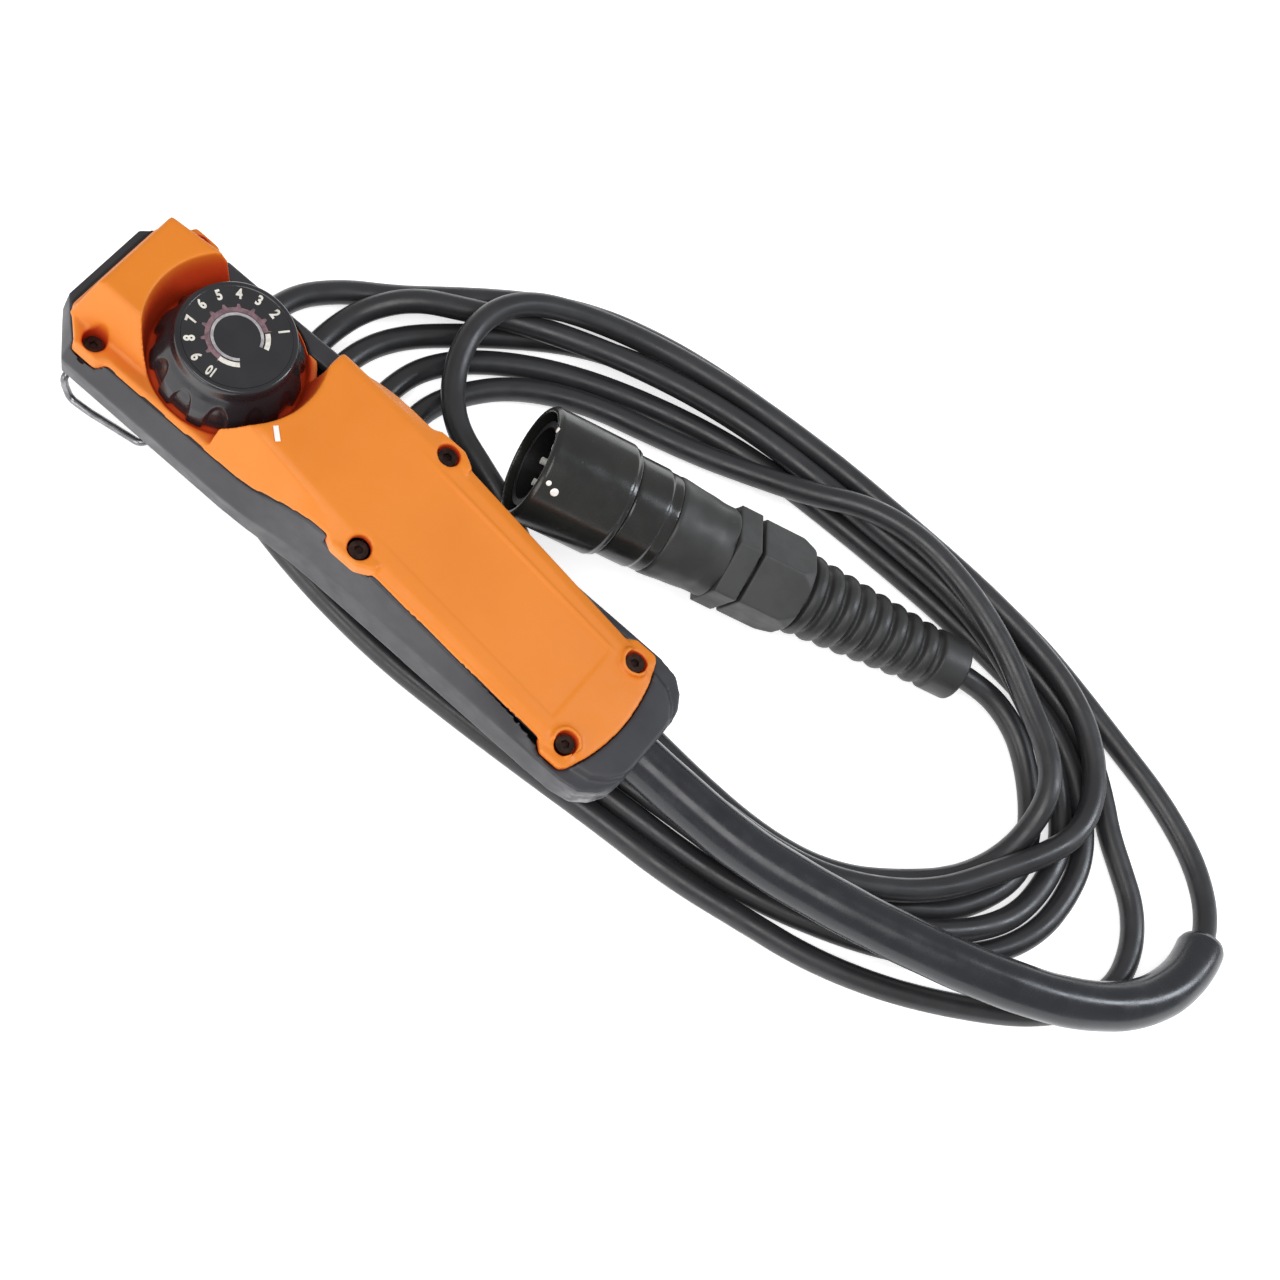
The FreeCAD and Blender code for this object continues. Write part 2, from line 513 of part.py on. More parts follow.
# ---------------------------------------------------------------- potentiometer
shaft_round = cyl("shaft_round", "shaft_rad", "shaft_len", (KX, 0, 37.5))
node(shaft_round, "potentiometer_shaft")
pot = fuse("pot_outer", [cyl("pot_can", "pot_rad", "pot_len", (KX, 0, dim("pot_base_z"))),
                         cyl("pot_bushing", "bushing_rad", "bushing_len", (KX, 0, dim("pot_base_z") + dim("pot_len")))])
pot_bore = cyl("pot_bore", "pot_bore_rad", 30.0, (KX, 0, 37.4))
node(cut("pot_cut", pot, pot_bore), "potentiometer_body")
hexa = doc.addObject("Part::Prism", "pot_nut_hex")
hexa.Polygon = 6
hexa.Circumradius = dim("nut_size_rad")
hexa.setExpression("Circumradius", "Dims.nut_size_rad")
hexa.Height = dim("nut_thick")
hexa.setExpression("Height", "Dims.nut_thick")
hexa.Placement = Placement(Vector(KX, 0, dim("bowl_floor_z")), Rotation())
node(cut("pot_nut_cut", hexa, cyl("pot_nut_bore", "bushing_rad", 10.0, (KX, 0, 40.0))), "potentiometer_nut")
seal_outer = cyl("seal_outer", "seal_rad", 2.2, (KX, 0, 38.8))
node(cut("seal_cut", seal_outer, cyl("seal_bore", "bushing_rad", 6.0, (KX, 0, 37.0))), "shaft_seal")

# ---------------------------------------------------------------- circuit board, terminals, wires
board = box("board_blank", ("board_len", "board_wide", "board_thick"), (fx(20.0), -dim("board_wide") / 2, dim("board_z")))
holes = fuse("board_holes", [cyl("board_hole_%d" % k, 1.5, 6.0, (x, y, dim("board_z") - 2.0)) for k, (x, y) in enumerate(POSTS)])
node(cut("board_cut", board, holes), "circuit_board")
top_b = dim("board_z") + dim("board_thick")
node(group("board_screw_set", [fuse("board_screw_%d" % k, [
    cyl("bs_head_%d" % k, "board_head_rad", 1.6, (x, y, top_b)), cyl("bs_shank_%d" % k, "board_screw_rad", 7.5, (x, y, top_b - 7.5))])
    for k, (x, y) in enumerate(POSTS)]), "board_screws")
term = box("term_blank", ("term_len", "term_wide", "term_high"), (fx(78.0), -dim("term_wide") / 2, top_b))
ways = fuse("term_ways", [cyl("term_way_%d" % k, 1.3, 9.0, (fx(92.5), y, 33.5), (-1, 0, 0)) for k, y in enumerate((-8.4, -4.2, 0.0, 4.2, 8.4))])
node(cut("term_cut", term, ways), "terminal_block")
wires = []
for k, y in enumerate((-8.4, -4.2, 0.0, 4.2, 8.4)):
    a = math.radians(72 * k + 90)
    y0, z0 = 2.3 * math.cos(a), 26.8 + 2.3 * math.sin(a)
    edges, _ = route([(80.0, y0, z0), (62.0, y0 * 1.2, z0), (30.0, y * 0.8, 27.5 + 0.4 * k), (2.0, y, 32.0), (-11.0, y, 33.5), (-22.0, y * 1.001, 33.5)])
    wires.append(tube(edges, dim("wire_rad")))
feature("lead_wires", Part.makeCompound(wires))

# ---------------------------------------------------------------- cable clamp inside the cable end
strap = Part.makeCylinder(R_SLEEVE + dim("strap_thick"), dim("strap_wide"), Vector(84.5, 0, 26.8), Vector(1, 0, 0))
strap = strap.common(Part.makeBox(30, 40, 40, Vector(80, -20, 19.0)))
feet = Part.makeBox(dim("strap_wide"), 2 * dim("strap_foot"), 1.6, Vector(84.5, -dim("strap_foot"), ZB + WALL))
legs = Part.makeBox(dim("strap_wide"), 2 * (R_SLEEVE + dim("strap_thick")), 26.8 - ZB - WALL, Vector(84.5, -(R_SLEEVE + dim("strap_thick")), ZB + WALL))
strap = strap.fuse([feet, legs]).cut(Part.makeCylinder(R_SLEEVE, 40, Vector(70, 0, 26.8), Vector(1, 0, 0)))
strap = strap.cut(Part.makeBox(30, 2 * R_SLEEVE, 26.8 - 15.0, Vector(80, -R_SLEEVE, 15.0)))
for y in (-11.6, 11.6):
    strap = strap.cut(Part.makeCylinder(1.6, 10, Vector(87.0, y, 15.0)))
feature("cable_clamp", strap.removeSplitter())
node(group("clamp_screw_set", [fuse("clamp_screw_%d" % k, [
    cyl("cs_head_%d" % k, 2.2, 1.8, (87.0, y, ZB + WALL + 1.6)), cyl("cs_shank_%d" % k, 1.4, 3.2, (87.0, y, ZB + WALL - 1.6))])
    for k, y in enumerate((-11.6, 11.6))]), "clamp_screws")

# ---------------------------------------------------------------- cable: sleeve, lead, coil, tail
full, _ = route(LEAD)
sleeve_edges, sleeve_last = list(full[:18]), full[18]
# the sleeve starts 3 mm inside the jacket's end and stops in the middle of the straight run after the ninth bend
first = sleeve_edges[0]
sleeve_edges[0] = Part.LineSegment(Vector(83.0, 0, 26.8), first.valueAt(first.LastParameter)).toShape()
e0, e1 = sleeve_last.valueAt(sleeve_last.FirstParameter), sleeve_last.valueAt(sleeve_last.LastParameter)
sleeve_edges.append(Part.LineSegment(e0, e0 + (e1 - e0) * 0.999).toShape())
sleeve = tube(sleeve_edges, R_SLEEVE).cut(tube([Part.LineSegment(Vector(80.0, 0, 26.8), Vector(83.0, 0, 26.8)).toShape()] + sleeve_edges, dim("sleeve_bore_dia") / 2))
feature("anti_kink_sleeve", sleeve)
feature("control_cable_lead", tube(lead_edges, R_CABLE))
feature("control_cable_tail", tube(tail_edges, R_CABLE))


def closed_spline(pts):
    c = Part.BSplineCurve()
    c.interpolate([Vector(x, y, 0) for x, y in pts], PeriodicFlag=True)
    return Part.Wire(c.toShape())


OUTER = [(-73.5, 50), (-65, 66), (-50, 83), (-28, 104), (-5, 121), (22, 134), (50, 140), (88, 143), (124, 144), (165, 144.5), (196, 142.5),
         (220, 133), (240, 114), (258, 99), (273, 84), (281, 66), (277, 48), (262, 31), (242, 18), (222, 8.5), (198, -0.5), (172, -8),
         (139, -14), (103, -19.5), (83, -21.5), (60, -22.5), (32, -24.5), (1, -23), (-24, -19), (-48, -12), (-64, -1), (-73, 13), (-76.5, 32)]
INNER = [(-6, 62), (3, 76), (20, 86), (39, 94), (53, 101), (71, 110), (90, 116), (116, 120.5), (150, 124), (176, 122), (193, 111),
         (206, 101), (216, 91), (220, 78), (214, 59), (205, 48), (193, 37.5), (176, 27), (160, 20.5), (130, 14), (100, 12), (70, 13),
         (42, 20), (18, 32), (0, 46)]
coil = Part.Face(closed_spline(OUTER)).extrude(Vector(0, 0, dim("coil_high")))
coil = coil.cut(Part.Face(closed_spline(INNER)).extrude(Vector(0, 0, dim("coil_high") + 4)).translated(Vector(0, 0, -2)))
coil = coil.cut(Part.makeBox(60, 300, 20, Vector(-54 - 60, -100, dim("layer_high"))))
coil = coil.cut(Part.makeBox(80, 300, 20, Vector(236, -100, dim("layer_high"))))
feature("cable_coil", coil)

# ---------------------------------------------------------------- wire clip on the back of the head
w = dim("clip_half_wide")
cw = dim("clip_wire_rad")


def clip_half(s):
    return [(PX, s * 17.2, PZ), (PX, s * (w - 0.2), PZ), (PX + 1.4, s * w, PZ - 4.0), (PX + 4.2, s * w, 5.5), (PX + 12.0, s * w, 7.2), (fx(41.5), s * w, 14.5), (fx(43.0), s * (w - 4), 14.55)]


def bent(points, radius):
    p = [Vector(*q) for q in points]
    segs, start = [], p[0]
    for i in range(1, len(p) - 1):
        a, b = p[i - 1] - p[i], p[i + 1] - p[i]
        ua, ub = Vector(a).normalize(), Vector(b).normalize()
        turn = math.pi - ua.getAngle(ub)
        back = min(radius * math.tan(turn / 2), 0.45 * min(a.Length, b.Length))
        rad = back / math.tan(turn / 2)
        t1, t2 = p[i] + ua * back, p[i] + ub * back
        bis = (ua + ub).normalize()
        mid = p[i] + bis * (rad / math.cos(turn / 2) - rad)
        segs.append(Part.LineSegment(start, t1).toShape())
        segs.append(Part.Arc(t1, mid, t2).toShape())
        start = t2
    segs.append(Part.LineSegment(start, p[-1]).toShape())
    return segs


clip_pts = clip_half(-1) + list(reversed(clip_half(1)))
feature("belt_clip", tube(bent(clip_pts, 3.0), cw))

# ---------------------------------------------------------------- plug, built along its own X axis
PLUG = Placement(Vector(dim("plug_x"), dim("plug_y"), dim("plug_z")), Rotation(Vector(0, 0, 1), dim("plug_angle")) * Rotation(Vector(0, 1, 0), dim("plug_tilt")))


def place_plug(obj, name):
    obj.Placement = PLUG.multiply(obj.Placement)
    return node(obj, name)


place_plug(revolved("plug_shell", "XY_Plane", "H_Axis", [
    ("barrel_front", "barrel_bore_rad"), ("barrel_front", "barrel_rad"), (40.0, "barrel_rad"), (40.0, 13.0), (52.0, 13.0), (52.0, 9.0),
    (32.0, 9.0), (32.0, 10.5), (30.0, 10.5), (30.0, "barrel_bore_rad")]), "plug_shell")
pin_xy = [(dim("pin_circle") * math.cos(math.radians(60 * k + 12)), dim("pin_circle") * math.sin(math.radians(60 * k + 12))) for k in range(6)] + [(0.0, 0.0)]
insert = cyl("insert_disc", "barrel_bore_rad", 22.0, (8.0, 0, 0), (1, 0, 0))
pin_holes = fuse("pin_holes", [cyl("pin_hole_%d" % k, "pin_rad", 40.0, (0, a, b), (1, 0, 0)) for k, (a, b) in enumerate(pin_xy)])
place_plug(cut("insert_cut", insert, pin_holes), "pin_insert")
pins = [cyl("pin_%d" % k, "pin_rad", 34.0, (2.0, a, b), (1, 0, 0)) for k, (a, b) in enumerate(pin_xy)]
place_plug(group("pin_set", pins), "contact_pins")
place_plug(revolved("coupling_ring", "XY_Plane", "H_Axis", [
    (-3.5, "ring_bore_rad"), (-3.5, 18.0), (-2.3, "ring_rad"), (24.5, "ring_rad"), (25.6, 18.4), (26.8, 18.2), (26.8, "ring_web_rad"),
    (19.0, "ring_web_rad"), (19.0, "ring_bore_rad")]), "coupling_ring")
place_plug(revolved("interface_seal", "XY_Plane", "H_Axis", [
    (10.0, "barrel_rad"), (10.0, 15.6), (12.0, 15.6), (12.0, "barrel_rad")]), "interface_seal")
place_plug(revolved("rear_ring", "XY_Plane", "H_Axis", [
    (27.0, "barrel_rad"), (27.0, 16.4), (27.8, "rear_ring_rad"), (38.6, "rear_ring_rad"), (39.2, 16.5), ("rear_ring_end", 16.5), ("rear_ring_end", 13.0),
    (40.0, 13.0), (40.0, "barrel_rad")]), "retaining_ring")
place_plug(revolved("backshell", "XY_Plane", "H_Axis", [
    ("rear_ring_end", 13.0), ("rear_ring_end", "shell_rad_a"), (44.0, 16.7), (60.0, "shell_rad_b"), ("shell_end", "shell_rad_b"), ("shell_end", 9.5),
    (54.0, 9.5), (52.0, 13.0)]), "backshell")


def hex_prism(name, rad, s0, s1):
    h = doc.addObject("Part::Prism", name)
    h.Polygon = 6
    h.Circumradius = dim(rad)
    h.setExpression("Circumradius", expr(rad))
    h.Height = s1 - s0
    h.Placement = Placement(Vector(s0, 0, 0), Rotation(Vector(0, 1, 0), 90) * Rotation(Vector(0, 0, 1), 8))
    return h


gland_outer = fuse("gland_outer", [hex_prism("gland_hex", "hex_rad", 65.0, 73.0), cyl("gland_screw", 12.0, 15.0, (73.0, 0, 0), (1, 0, 0)),
                                   cyl("gland_spigot", 9.5, 11.0, (54.0, 0, 0), (1, 0, 0))])
place_plug(cut("gland_cut", gland_outer, fuse("gland_bores", [cyl("gland_bore_a", 4.4, 60.0, (50.0, 0, 0), (1, 0, 0)), cyl("gland_bore_b", 8.0, 20.0, (78.0, 0, 0), (1, 0, 0))])), "gland_body")
place_plug(cut("gland_seal_cut", cyl("gland_seal_outer", 8.0, 9.5, (78.0, 0, 0), (1, 0, 0)), cyl("gland_seal_bore", 4.0, 30.0, (70.0, 0, 0), (1, 0, 0))), "gland_seal")
nut_hex = hex_prism("gland_nut_hex", "nut_hex_rad", 74.5, 94.0)
cone = doc.addObject("Part::Cone", "gland_nut_taper")
cone.Radius1 = 21.5
cone.Radius2 = 15.2
cone.Height = 19.5
cone.Placement = Placement(Vector(74.5, 0, 0), Rotation(Vector(0, 1, 0), 90))
nut_shape = doc.addObject("Part::MultiCommon", "gland_nut_form")
nut_shape.Shapes = [nut_hex, cone]
place_plug(cut("gland_nut_cut", nut_shape, fuse("gland_nut_bores", [cyl("gn_bore_a", 12.0, 14.0, (74.0, 0, 0), (1, 0, 0)), cyl("gn_bore_b", 6.0, 30.0, (80.0, 0, 0), (1, 0, 0))])), "gland_nut")
cable_end = cyl("cable_end", 4.0, 92.0, (56.0, 0, 0), (1, 0, 0))
place_plug(cable_end, "plug_cable_end")
# ribbed boot: eight rounded ribs, then a smooth collar
verts = [(88.5, "boot_bore_rad"), (88.5, 5.95), (94.05, 5.95), (94.05, 12.6)]
n_rib, s_a, s_b = 8, 95.0, 147.0
for k in range(n_rib):
    p = (s_b - s_a) / n_rib
    s = s_a + k * p
    r = 13.6 + (10.6 - 13.6) * (k / (n_rib - 1.0))
    verts += [(s + 0.2, r - 2.2), (s + 1.3, r - 0.4), (s + 2.9, r), (s + 4.5, r - 0.4), (s + 5.6, r - 2.2)]
verts += [(147.6, 8.8), (148.4, "collar_rad"), (158.2, "collar_rad"), ("boot_end", 9.6), ("boot_end", "boot_bore_rad")]
place_plug(revolved("bend_relief_boot", "XY_Plane", "H_Axis", verts), "bend_relief_boot")

# ---------------------------------------------------------------- checks and export
doc.recompute()
bad = [o.Name + " " + str(o.State) for o in doc.Objects if "Invalid" in o.State or "Error" in o.State]
if bad:
    raise SystemExit("failed objects: " + "; ".join(bad))
names = [o.Label for o in NODES]
assert len(names) == len(set(names)) and len(names) <= 60
for o in NODES:
    s = o.Shape
    if s.isNull() or not s.isValid() or not s.Solids:
        raise SystemExit("bad shape: " + o.Label)
os.makedirs("parts", exist_ok=True)
for f in os.listdir("parts"):
    if f.endswith(".step"):
        os.remove(os.path.join("parts", f))
for o in NODES:
    o.Shape.exportStep("parts/" + o.Label + ".step")
    b = o.Shape.BoundBox
    print("%-22s solids %d vol %9.0f  x %.1f..%.1f y %.1f..%.1f z %.2f..%.2f" % (o.Label, len(o.Shape.Solids), o.Shape.Volume, b.XMin, b.XMax, b.YMin, b.YMax, b.ZMin, b.ZMax))
print(len(NODES), "nodes")
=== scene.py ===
"""Pendant control station: its finished surfaces, cable and dial print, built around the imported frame."""
import math

import bmesh
import bpy
from mathutils import Matrix, Vector


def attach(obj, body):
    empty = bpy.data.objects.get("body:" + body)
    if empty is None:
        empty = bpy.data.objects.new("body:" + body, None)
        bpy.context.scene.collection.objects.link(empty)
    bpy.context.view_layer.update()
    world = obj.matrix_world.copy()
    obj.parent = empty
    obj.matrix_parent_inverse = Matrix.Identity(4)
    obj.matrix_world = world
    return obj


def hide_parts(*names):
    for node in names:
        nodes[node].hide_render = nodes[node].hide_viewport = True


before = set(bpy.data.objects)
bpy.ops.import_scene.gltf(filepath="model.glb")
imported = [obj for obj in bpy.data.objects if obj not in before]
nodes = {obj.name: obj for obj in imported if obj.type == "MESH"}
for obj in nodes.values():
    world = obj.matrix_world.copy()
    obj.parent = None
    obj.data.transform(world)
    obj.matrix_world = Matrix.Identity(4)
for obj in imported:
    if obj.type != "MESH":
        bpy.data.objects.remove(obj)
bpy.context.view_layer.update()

scene = bpy.context.scene


def link(obj):
    scene.collection.objects.link(obj)
    return obj


# ------------------------------------------------------------------ camera
cam_data = bpy.data.cameras.new("view_camera")
cam_data.lens, cam_data.sensor_width = 74.74, 36.0
cam_data.clip_start, cam_data.clip_end = 0.05, 20.0
cam = link(bpy.data.objects.new("view_camera", cam_data))
CR, CU, CB = Vector((0.7529, 0.5805, 0.3101)), Vector((-0.6580, 0.6702, 0.3434)), Vector((-0.0085, -0.4626, 0.8866))
pose = Matrix((CR, CU, CB)).transposed().to_4x4()
pose.translation = Vector((0.085378, 0.032101, 0.024)) + CB * 0.82726
cam.matrix_world = pose
scene.camera = cam
scene.view_settings.view_transform = "Standard"

# ------------------------------------------------------------------ cable route, in metres
LEAD = [(0.080, 0.0, 0.0268), (0.103, 0.0, 0.0268), (0.127, 0.0005, 0.0245), (0.152, 0.001, 0.02435), (0.180, 0.0064, 0.0244),
        (0.209, 0.0142, 0.02445), (0.238, 0.024, 0.0244), (0.264, 0.037, 0.0224), (0.2825, 0.055, 0.0176), (0.291, 0.0765, 0.0124),
        (0.2895, 0.098, 0.008), (0.276, 0.115, 0.0048), (0.253, 0.1258, 0.0041), (0.229, 0.1314, 0.00405), (0.207, 0.1366, 0.00405)]
COIL = [
    (0.1868, 0.1405, 0.0040), (0.1606, 0.1417, 0.0040), (0.1300, 0.1415, 0.0040), (0.0997, 0.1406, 0.0040), (0.0718, 0.1391, 0.0040), (0.0454, 0.1359, 0.0040),
    (0.0238, 0.1308, 0.0040), (0.0037, 0.1231, 0.0040), (-0.0141, 0.1110, 0.0040), (-0.0311, 0.0952, 0.0040), (-0.0473, 0.0784, 0.0040), (-0.0615, 0.0669, 0.0040),
    (-0.0717, 0.0525, 0.0040), (-0.0725, 0.0340, 0.0040), (-0.0693, 0.0154, 0.0040), (-0.0597, 0.0015, 0.0040), (-0.0446, -0.0086, 0.0040), (-0.0245, -0.0142, 0.0040),
    (-0.0006, -0.0183, 0.0040), (0.0281, -0.0203, 0.0040), (0.0560, -0.0190, 0.0040), (0.0840, -0.0168, 0.0040), (0.1120, -0.0142, 0.0041), (0.1403, -0.0125, 0.0041),
    (0.1663, -0.0076, 0.0040), (0.1899, -0.0032, 0.0040), (0.2143, 0.0058, 0.0040), (0.2361, 0.0177, 0.0040), (0.2570, 0.0319, 0.0040), (0.2699, 0.0470, 0.0040),
    (0.2756, 0.0621, 0.0040), (0.2728, 0.0764, 0.0040), (0.2654, 0.0878, 0.0040), (0.2550, 0.0957, 0.0040), (0.2449, 0.1030, 0.0040), (0.2358, 0.1122, 0.0040),
    (0.2249, 0.1210, 0.0040), (0.2075, 0.1286, 0.0040), (0.1868, 0.1323, 0.0040), (0.1606, 0.1337, 0.0040), (0.1300, 0.1334, 0.0040), (0.0998, 0.1324, 0.0040),
    (0.0719, 0.1308, 0.0040), (0.0455, 0.1268, 0.0040), (0.0238, 0.1200, 0.0040), (0.0048, 0.1098, 0.0040), (-0.0109, 0.0965, 0.0040), (-0.0251, 0.0823, 0.0040),
    (-0.0363, 0.0695, 0.0040), (-0.0425, 0.0572, 0.0040), (-0.0443, 0.0445, 0.0040), (-0.0425, 0.0304, 0.0040), (-0.0356, 0.0175, 0.0040), (-0.0247, 0.0064, 0.0040),
    (-0.0089, -0.0024, 0.0040), (0.0117, -0.0083, 0.0040), (0.0385, -0.0116, 0.0040), (0.0642, -0.0102, 0.0040), (0.0902, -0.0081, 0.0040), (0.1160, -0.0058, 0.0040),
    (0.1428, -0.0037, 0.0040), (0.1642, 0.0004, 0.0040), (0.1850, 0.0072, 0.0040), (0.2065, 0.0166, 0.0040), (0.2247, 0.0287, 0.0040), (0.2379, 0.0429, 0.0040),
    (0.2446, 0.0580, 0.0040), (0.2456, 0.0730, 0.0040), (0.2430, 0.0882, 0.0040), (0.2338, 0.1023, 0.0040), (0.2199, 0.1144, 0.0040), (0.2036, 0.1216, 0.0040),
    (0.1828, 0.1242, 0.0040), (0.1559, 0.1254, 0.0040), (0.1302, 0.1251, 0.0040), (0.1033, 0.1240, 0.0040), (0.0821, 0.1224, 0.0040), (0.0600, 0.1183, 0.0040),
    (0.0376, 0.1111, 0.0040), (0.0177, 0.1027, 0.0040), (-0.0004, 0.0920, 0.0040), (-0.0159, 0.0786, 0.0040), (-0.0248, 0.0655, 0.0040), (-0.0278, 0.0531, 0.0040),
    (-0.0272, 0.0400, 0.0041), (-0.0212, 0.0268, 0.0041), (-0.0095, 0.0152, 0.0041), (0.0064, 0.0061, 0.0041), (0.0273, 0.0000, 0.0041), (0.0543, -0.0031, 0.0041),
    (0.0802, -0.0007, 0.0040), (0.1063, 0.0018, 0.0040), (0.1326, 0.0025, 0.0087), (0.1564, 0.0034, 0.0109), (0.1783, 0.0091, 0.0110), (0.1984, 0.0173, 0.0109),
    (0.2155, 0.0289, 0.0098), (0.2287, 0.0433, 0.0082), (0.2358, 0.0576, 0.0051), (0.2371, 0.0728, 0.0042), (0.2344, 0.0868, 0.0046), (0.2262, 0.0985, 0.0047),
    (0.2137, 0.1090, 0.0065), (0.1969, 0.1167, 0.0096), (0.1785, 0.1236, 0.0121), (0.1545, 0.1290, 0.0117), (0.1254, 0.1289, 0.0111), (0.1001, 0.1283, 0.0108),
    (0.0736, 0.1264, 0.0111), (0.0499, 0.1220, 0.0117), (0.0264, 0.1147, 0.0122), (0.0069, 0.1065, 0.0126), (-0.0126, 0.0975, 0.0114), (-0.0285, 0.0874, 0.0113),
    (-0.0416, 0.0777, 0.0124), (-0.0509, 0.0664, 0.0075), (-0.0543, 0.0538, 0.0050), (-0.0544, 0.0408, 0.0043), (-0.0501, 0.0263, 0.0044), (-0.0420, 0.0129, 0.0063),
    (-0.0286, 0.0024, 0.0101), (-0.0094, -0.0042, 0.0124), (0.0152, -0.0078, 0.0119), (0.0415, -0.0086, 0.0119), (0.0679, -0.0062, 0.0119), (0.0919, -0.0013, 0.0120),
    (0.1135, 0.0053, 0.0126), (0.1356, 0.0109, 0.0128), (0.1582, 0.0129, 0.0122), (0.1781, 0.0180, 0.0126), (0.1975, 0.0298, 0.0126), (0.2109, 0.0431, 0.0127),
    (0.2208, 0.0601, 0.0128), (0.2293, 0.0745, 0.0135), (0.2353, 0.0907, 0.0129), (0.2313, 0.1078, 0.0123), (0.2191, 0.1222, 0.0122), (0.2027, 0.1309, 0.0122),
    (0.1816, 0.1353, 0.0118), (0.1565, 0.1373, 0.0115), (0.1280, 0.1371, 0.0116), (0.0996, 0.1366, 0.0116), (0.0744, 0.1343, 0.0118), (0.0539, 0.1312, 0.0123),
    (0.0336, 0.1264, 0.0129), (0.0157, 0.1198, 0.0146), (-0.0006, 0.1113, 0.0167), (-0.0126, 0.1022, 0.0188), (-0.0191, 0.0918, 0.0195), (-0.0206, 0.0806, 0.0180),
    (-0.0177, 0.0696, 0.0158), (-0.0115, 0.0596, 0.0139), (-0.0019, 0.0504, 0.0150), (0.0120, 0.0450, 0.0165), (0.0270, 0.0400, 0.0160), (0.0480, 0.0310, 0.0090),
    (0.0759, 0.0213, 0.0042), (0.1022, 0.0192, 0.0042), (0.1256, 0.0175, 0.0042), (0.1503, 0.0173, 0.0043), (0.1701, 0.0207, 0.0044), (0.1856, 0.0277, 0.0046),
    (0.1993, 0.0387, 0.0048), (0.2112, 0.0505, 0.0053), (0.2188, 0.0643, 0.0057), (0.2214, 0.0771, 0.0105), (0.2191, 0.0914, 0.0176), (0.2107, 0.1028, 0.0183),
    (0.1948, 0.1127, 0.0174), (0.1777, 0.1216, 0.0192), (0.1562, 0.1281, 0.0210), (0.1338, 0.1314, 0.0207), (0.1138, 0.1278, 0.0196), (0.0959, 0.1195, 0.0143),
    (0.0790, 0.1150, 0.0084), (0.0622, 0.1096, 0.0048), (0.0441, 0.1032, 0.0047), (0.0256, 0.0973, 0.0044), (0.0108, 0.0896, 0.0043), (-0.0015, 0.0795, 0.0042),
    (-0.0093, 0.0684, 0.0042), (-0.0145, 0.0575, 0.0041), (-0.0156, 0.0464, 0.0041), (-0.0102, 0.0347, 0.0041), (0.0011, 0.0254, 0.0041), (0.0196, 0.0170, 0.0041),
    (0.0414, 0.0120, 0.0040), (0.0682, 0.0104, 0.0040), (0.0940, 0.0105, 0.0040), (0.1205, 0.0099, 0.0040), (0.1445, 0.0088, 0.0040), (0.1666, 0.0112, 0.0040),
    (0.1869, 0.0189, 0.0040), (0.2040, 0.0313, 0.0040), (0.2185, 0.0429, 0.0040),
]
TAIL = [(0.2289, 0.0660, 0.0041), (0.2239, 0.0831, 0.0043), (0.2127, 0.0983, 0.0046), (0.1977, 0.1091, 0.0066), (0.17876, 0.11101, 0.00899), (0.16063, 0.10339, 0.0126)]


def nurbs(name, pts):
    data = bpy.data.curves.new(name, "CURVE")
    data.dimensions = "3D"
    sp = data.splines.new("NURBS")
    sp.points.add(len(pts) - 1)
    for p, q in zip(sp.points, pts):
        p.co = (q[0], q[1], q[2], 1.0)
        p.radius = 0.004
    sp.order_u = 3
    sp.use_endpoint_u = True
    return link(bpy.data.objects.new(name, data))


cable = nurbs("control_cable", LEAD + COIL + TAIL)
cable.data.resolution_u = 8
cable.data.bevel_depth = 1.0
cable.data.bevel_resolution = 6
cable.data.use_fill_caps = True
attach(cable, "handset")
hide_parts("control_cable_lead", "cable_coil", "control_cable_tail")


def line_of(pts, res=16):
    """Points read from the route's spline."""
    bare = nurbs("bare_line", pts)
    bare.data.resolution_u = res
    mesh = bpy.data.meshes.new_from_object(bare)
    out = [v.co.copy() for v in mesh.vertices]
    bpy.data.objects.remove(bare)
    bpy.data.meshes.remove(mesh)
    return out


def arc_lengths(line):
    s = [0.0]
    for a, b in zip(line, line[1:]):
        s.append(s[-1] + (b - a).length)
    return s


def at(line, s, d):
    d = min(max(d, 0.0), s[-1])
    i = 0
    while i < len(s) - 2 and s[i + 1] < d:
        i += 1
    t = (d - s[i]) / max(s[i + 1] - s[i], 1e-9)
    return line[i].lerp(line[i + 1], t)


def tube_mesh(name, line, radii_out, radii_in, segs=48):
    """A tube wall along a line: outer rings, inner rings, and the two annular ends."""
    n = len(line)
    tang = [(line[min(i + 1, n - 1)] - line[max(i - 1, 0)]).normalized() for i in range(n)]
    up = Vector((0, 0, 1))
    side = [(t.cross(up)).normalized() for t in tang]
    nrm = [s.cross(t).normalized() for s, t in zip(side, tang)]
    bm = bmesh.new()
    rings = []
    for radii in (radii_out, radii_in):
        group = []
        for i in range(n):
            group.append([bm.verts.new(line[i] + (side[i] * math.cos(2 * math.pi * k / segs) + nrm[i] * math.sin(2 * math.pi * k / segs)) * radii[i])
                          for k in range(segs)])
        rings.append(group)
    loop = rings[0] + rings[1][::-1]
    for a, b in zip(loop, loop[1:] + loop[:1]):
        for k in range(segs):
            bm.faces.new((a[k], a[(k + 1) % segs], b[(k + 1) % segs], b[k]))
    bmesh.ops.recalc_face_normals(bm, faces=bm.faces)
    mesh = bpy.data.meshes.new(name)
    bm.to_mesh(mesh)
    bm.free()
    mesh.polygons.foreach_set("use_smooth", [True] * len(mesh.polygons))
    return link(bpy.data.objects.new(name, mesh))


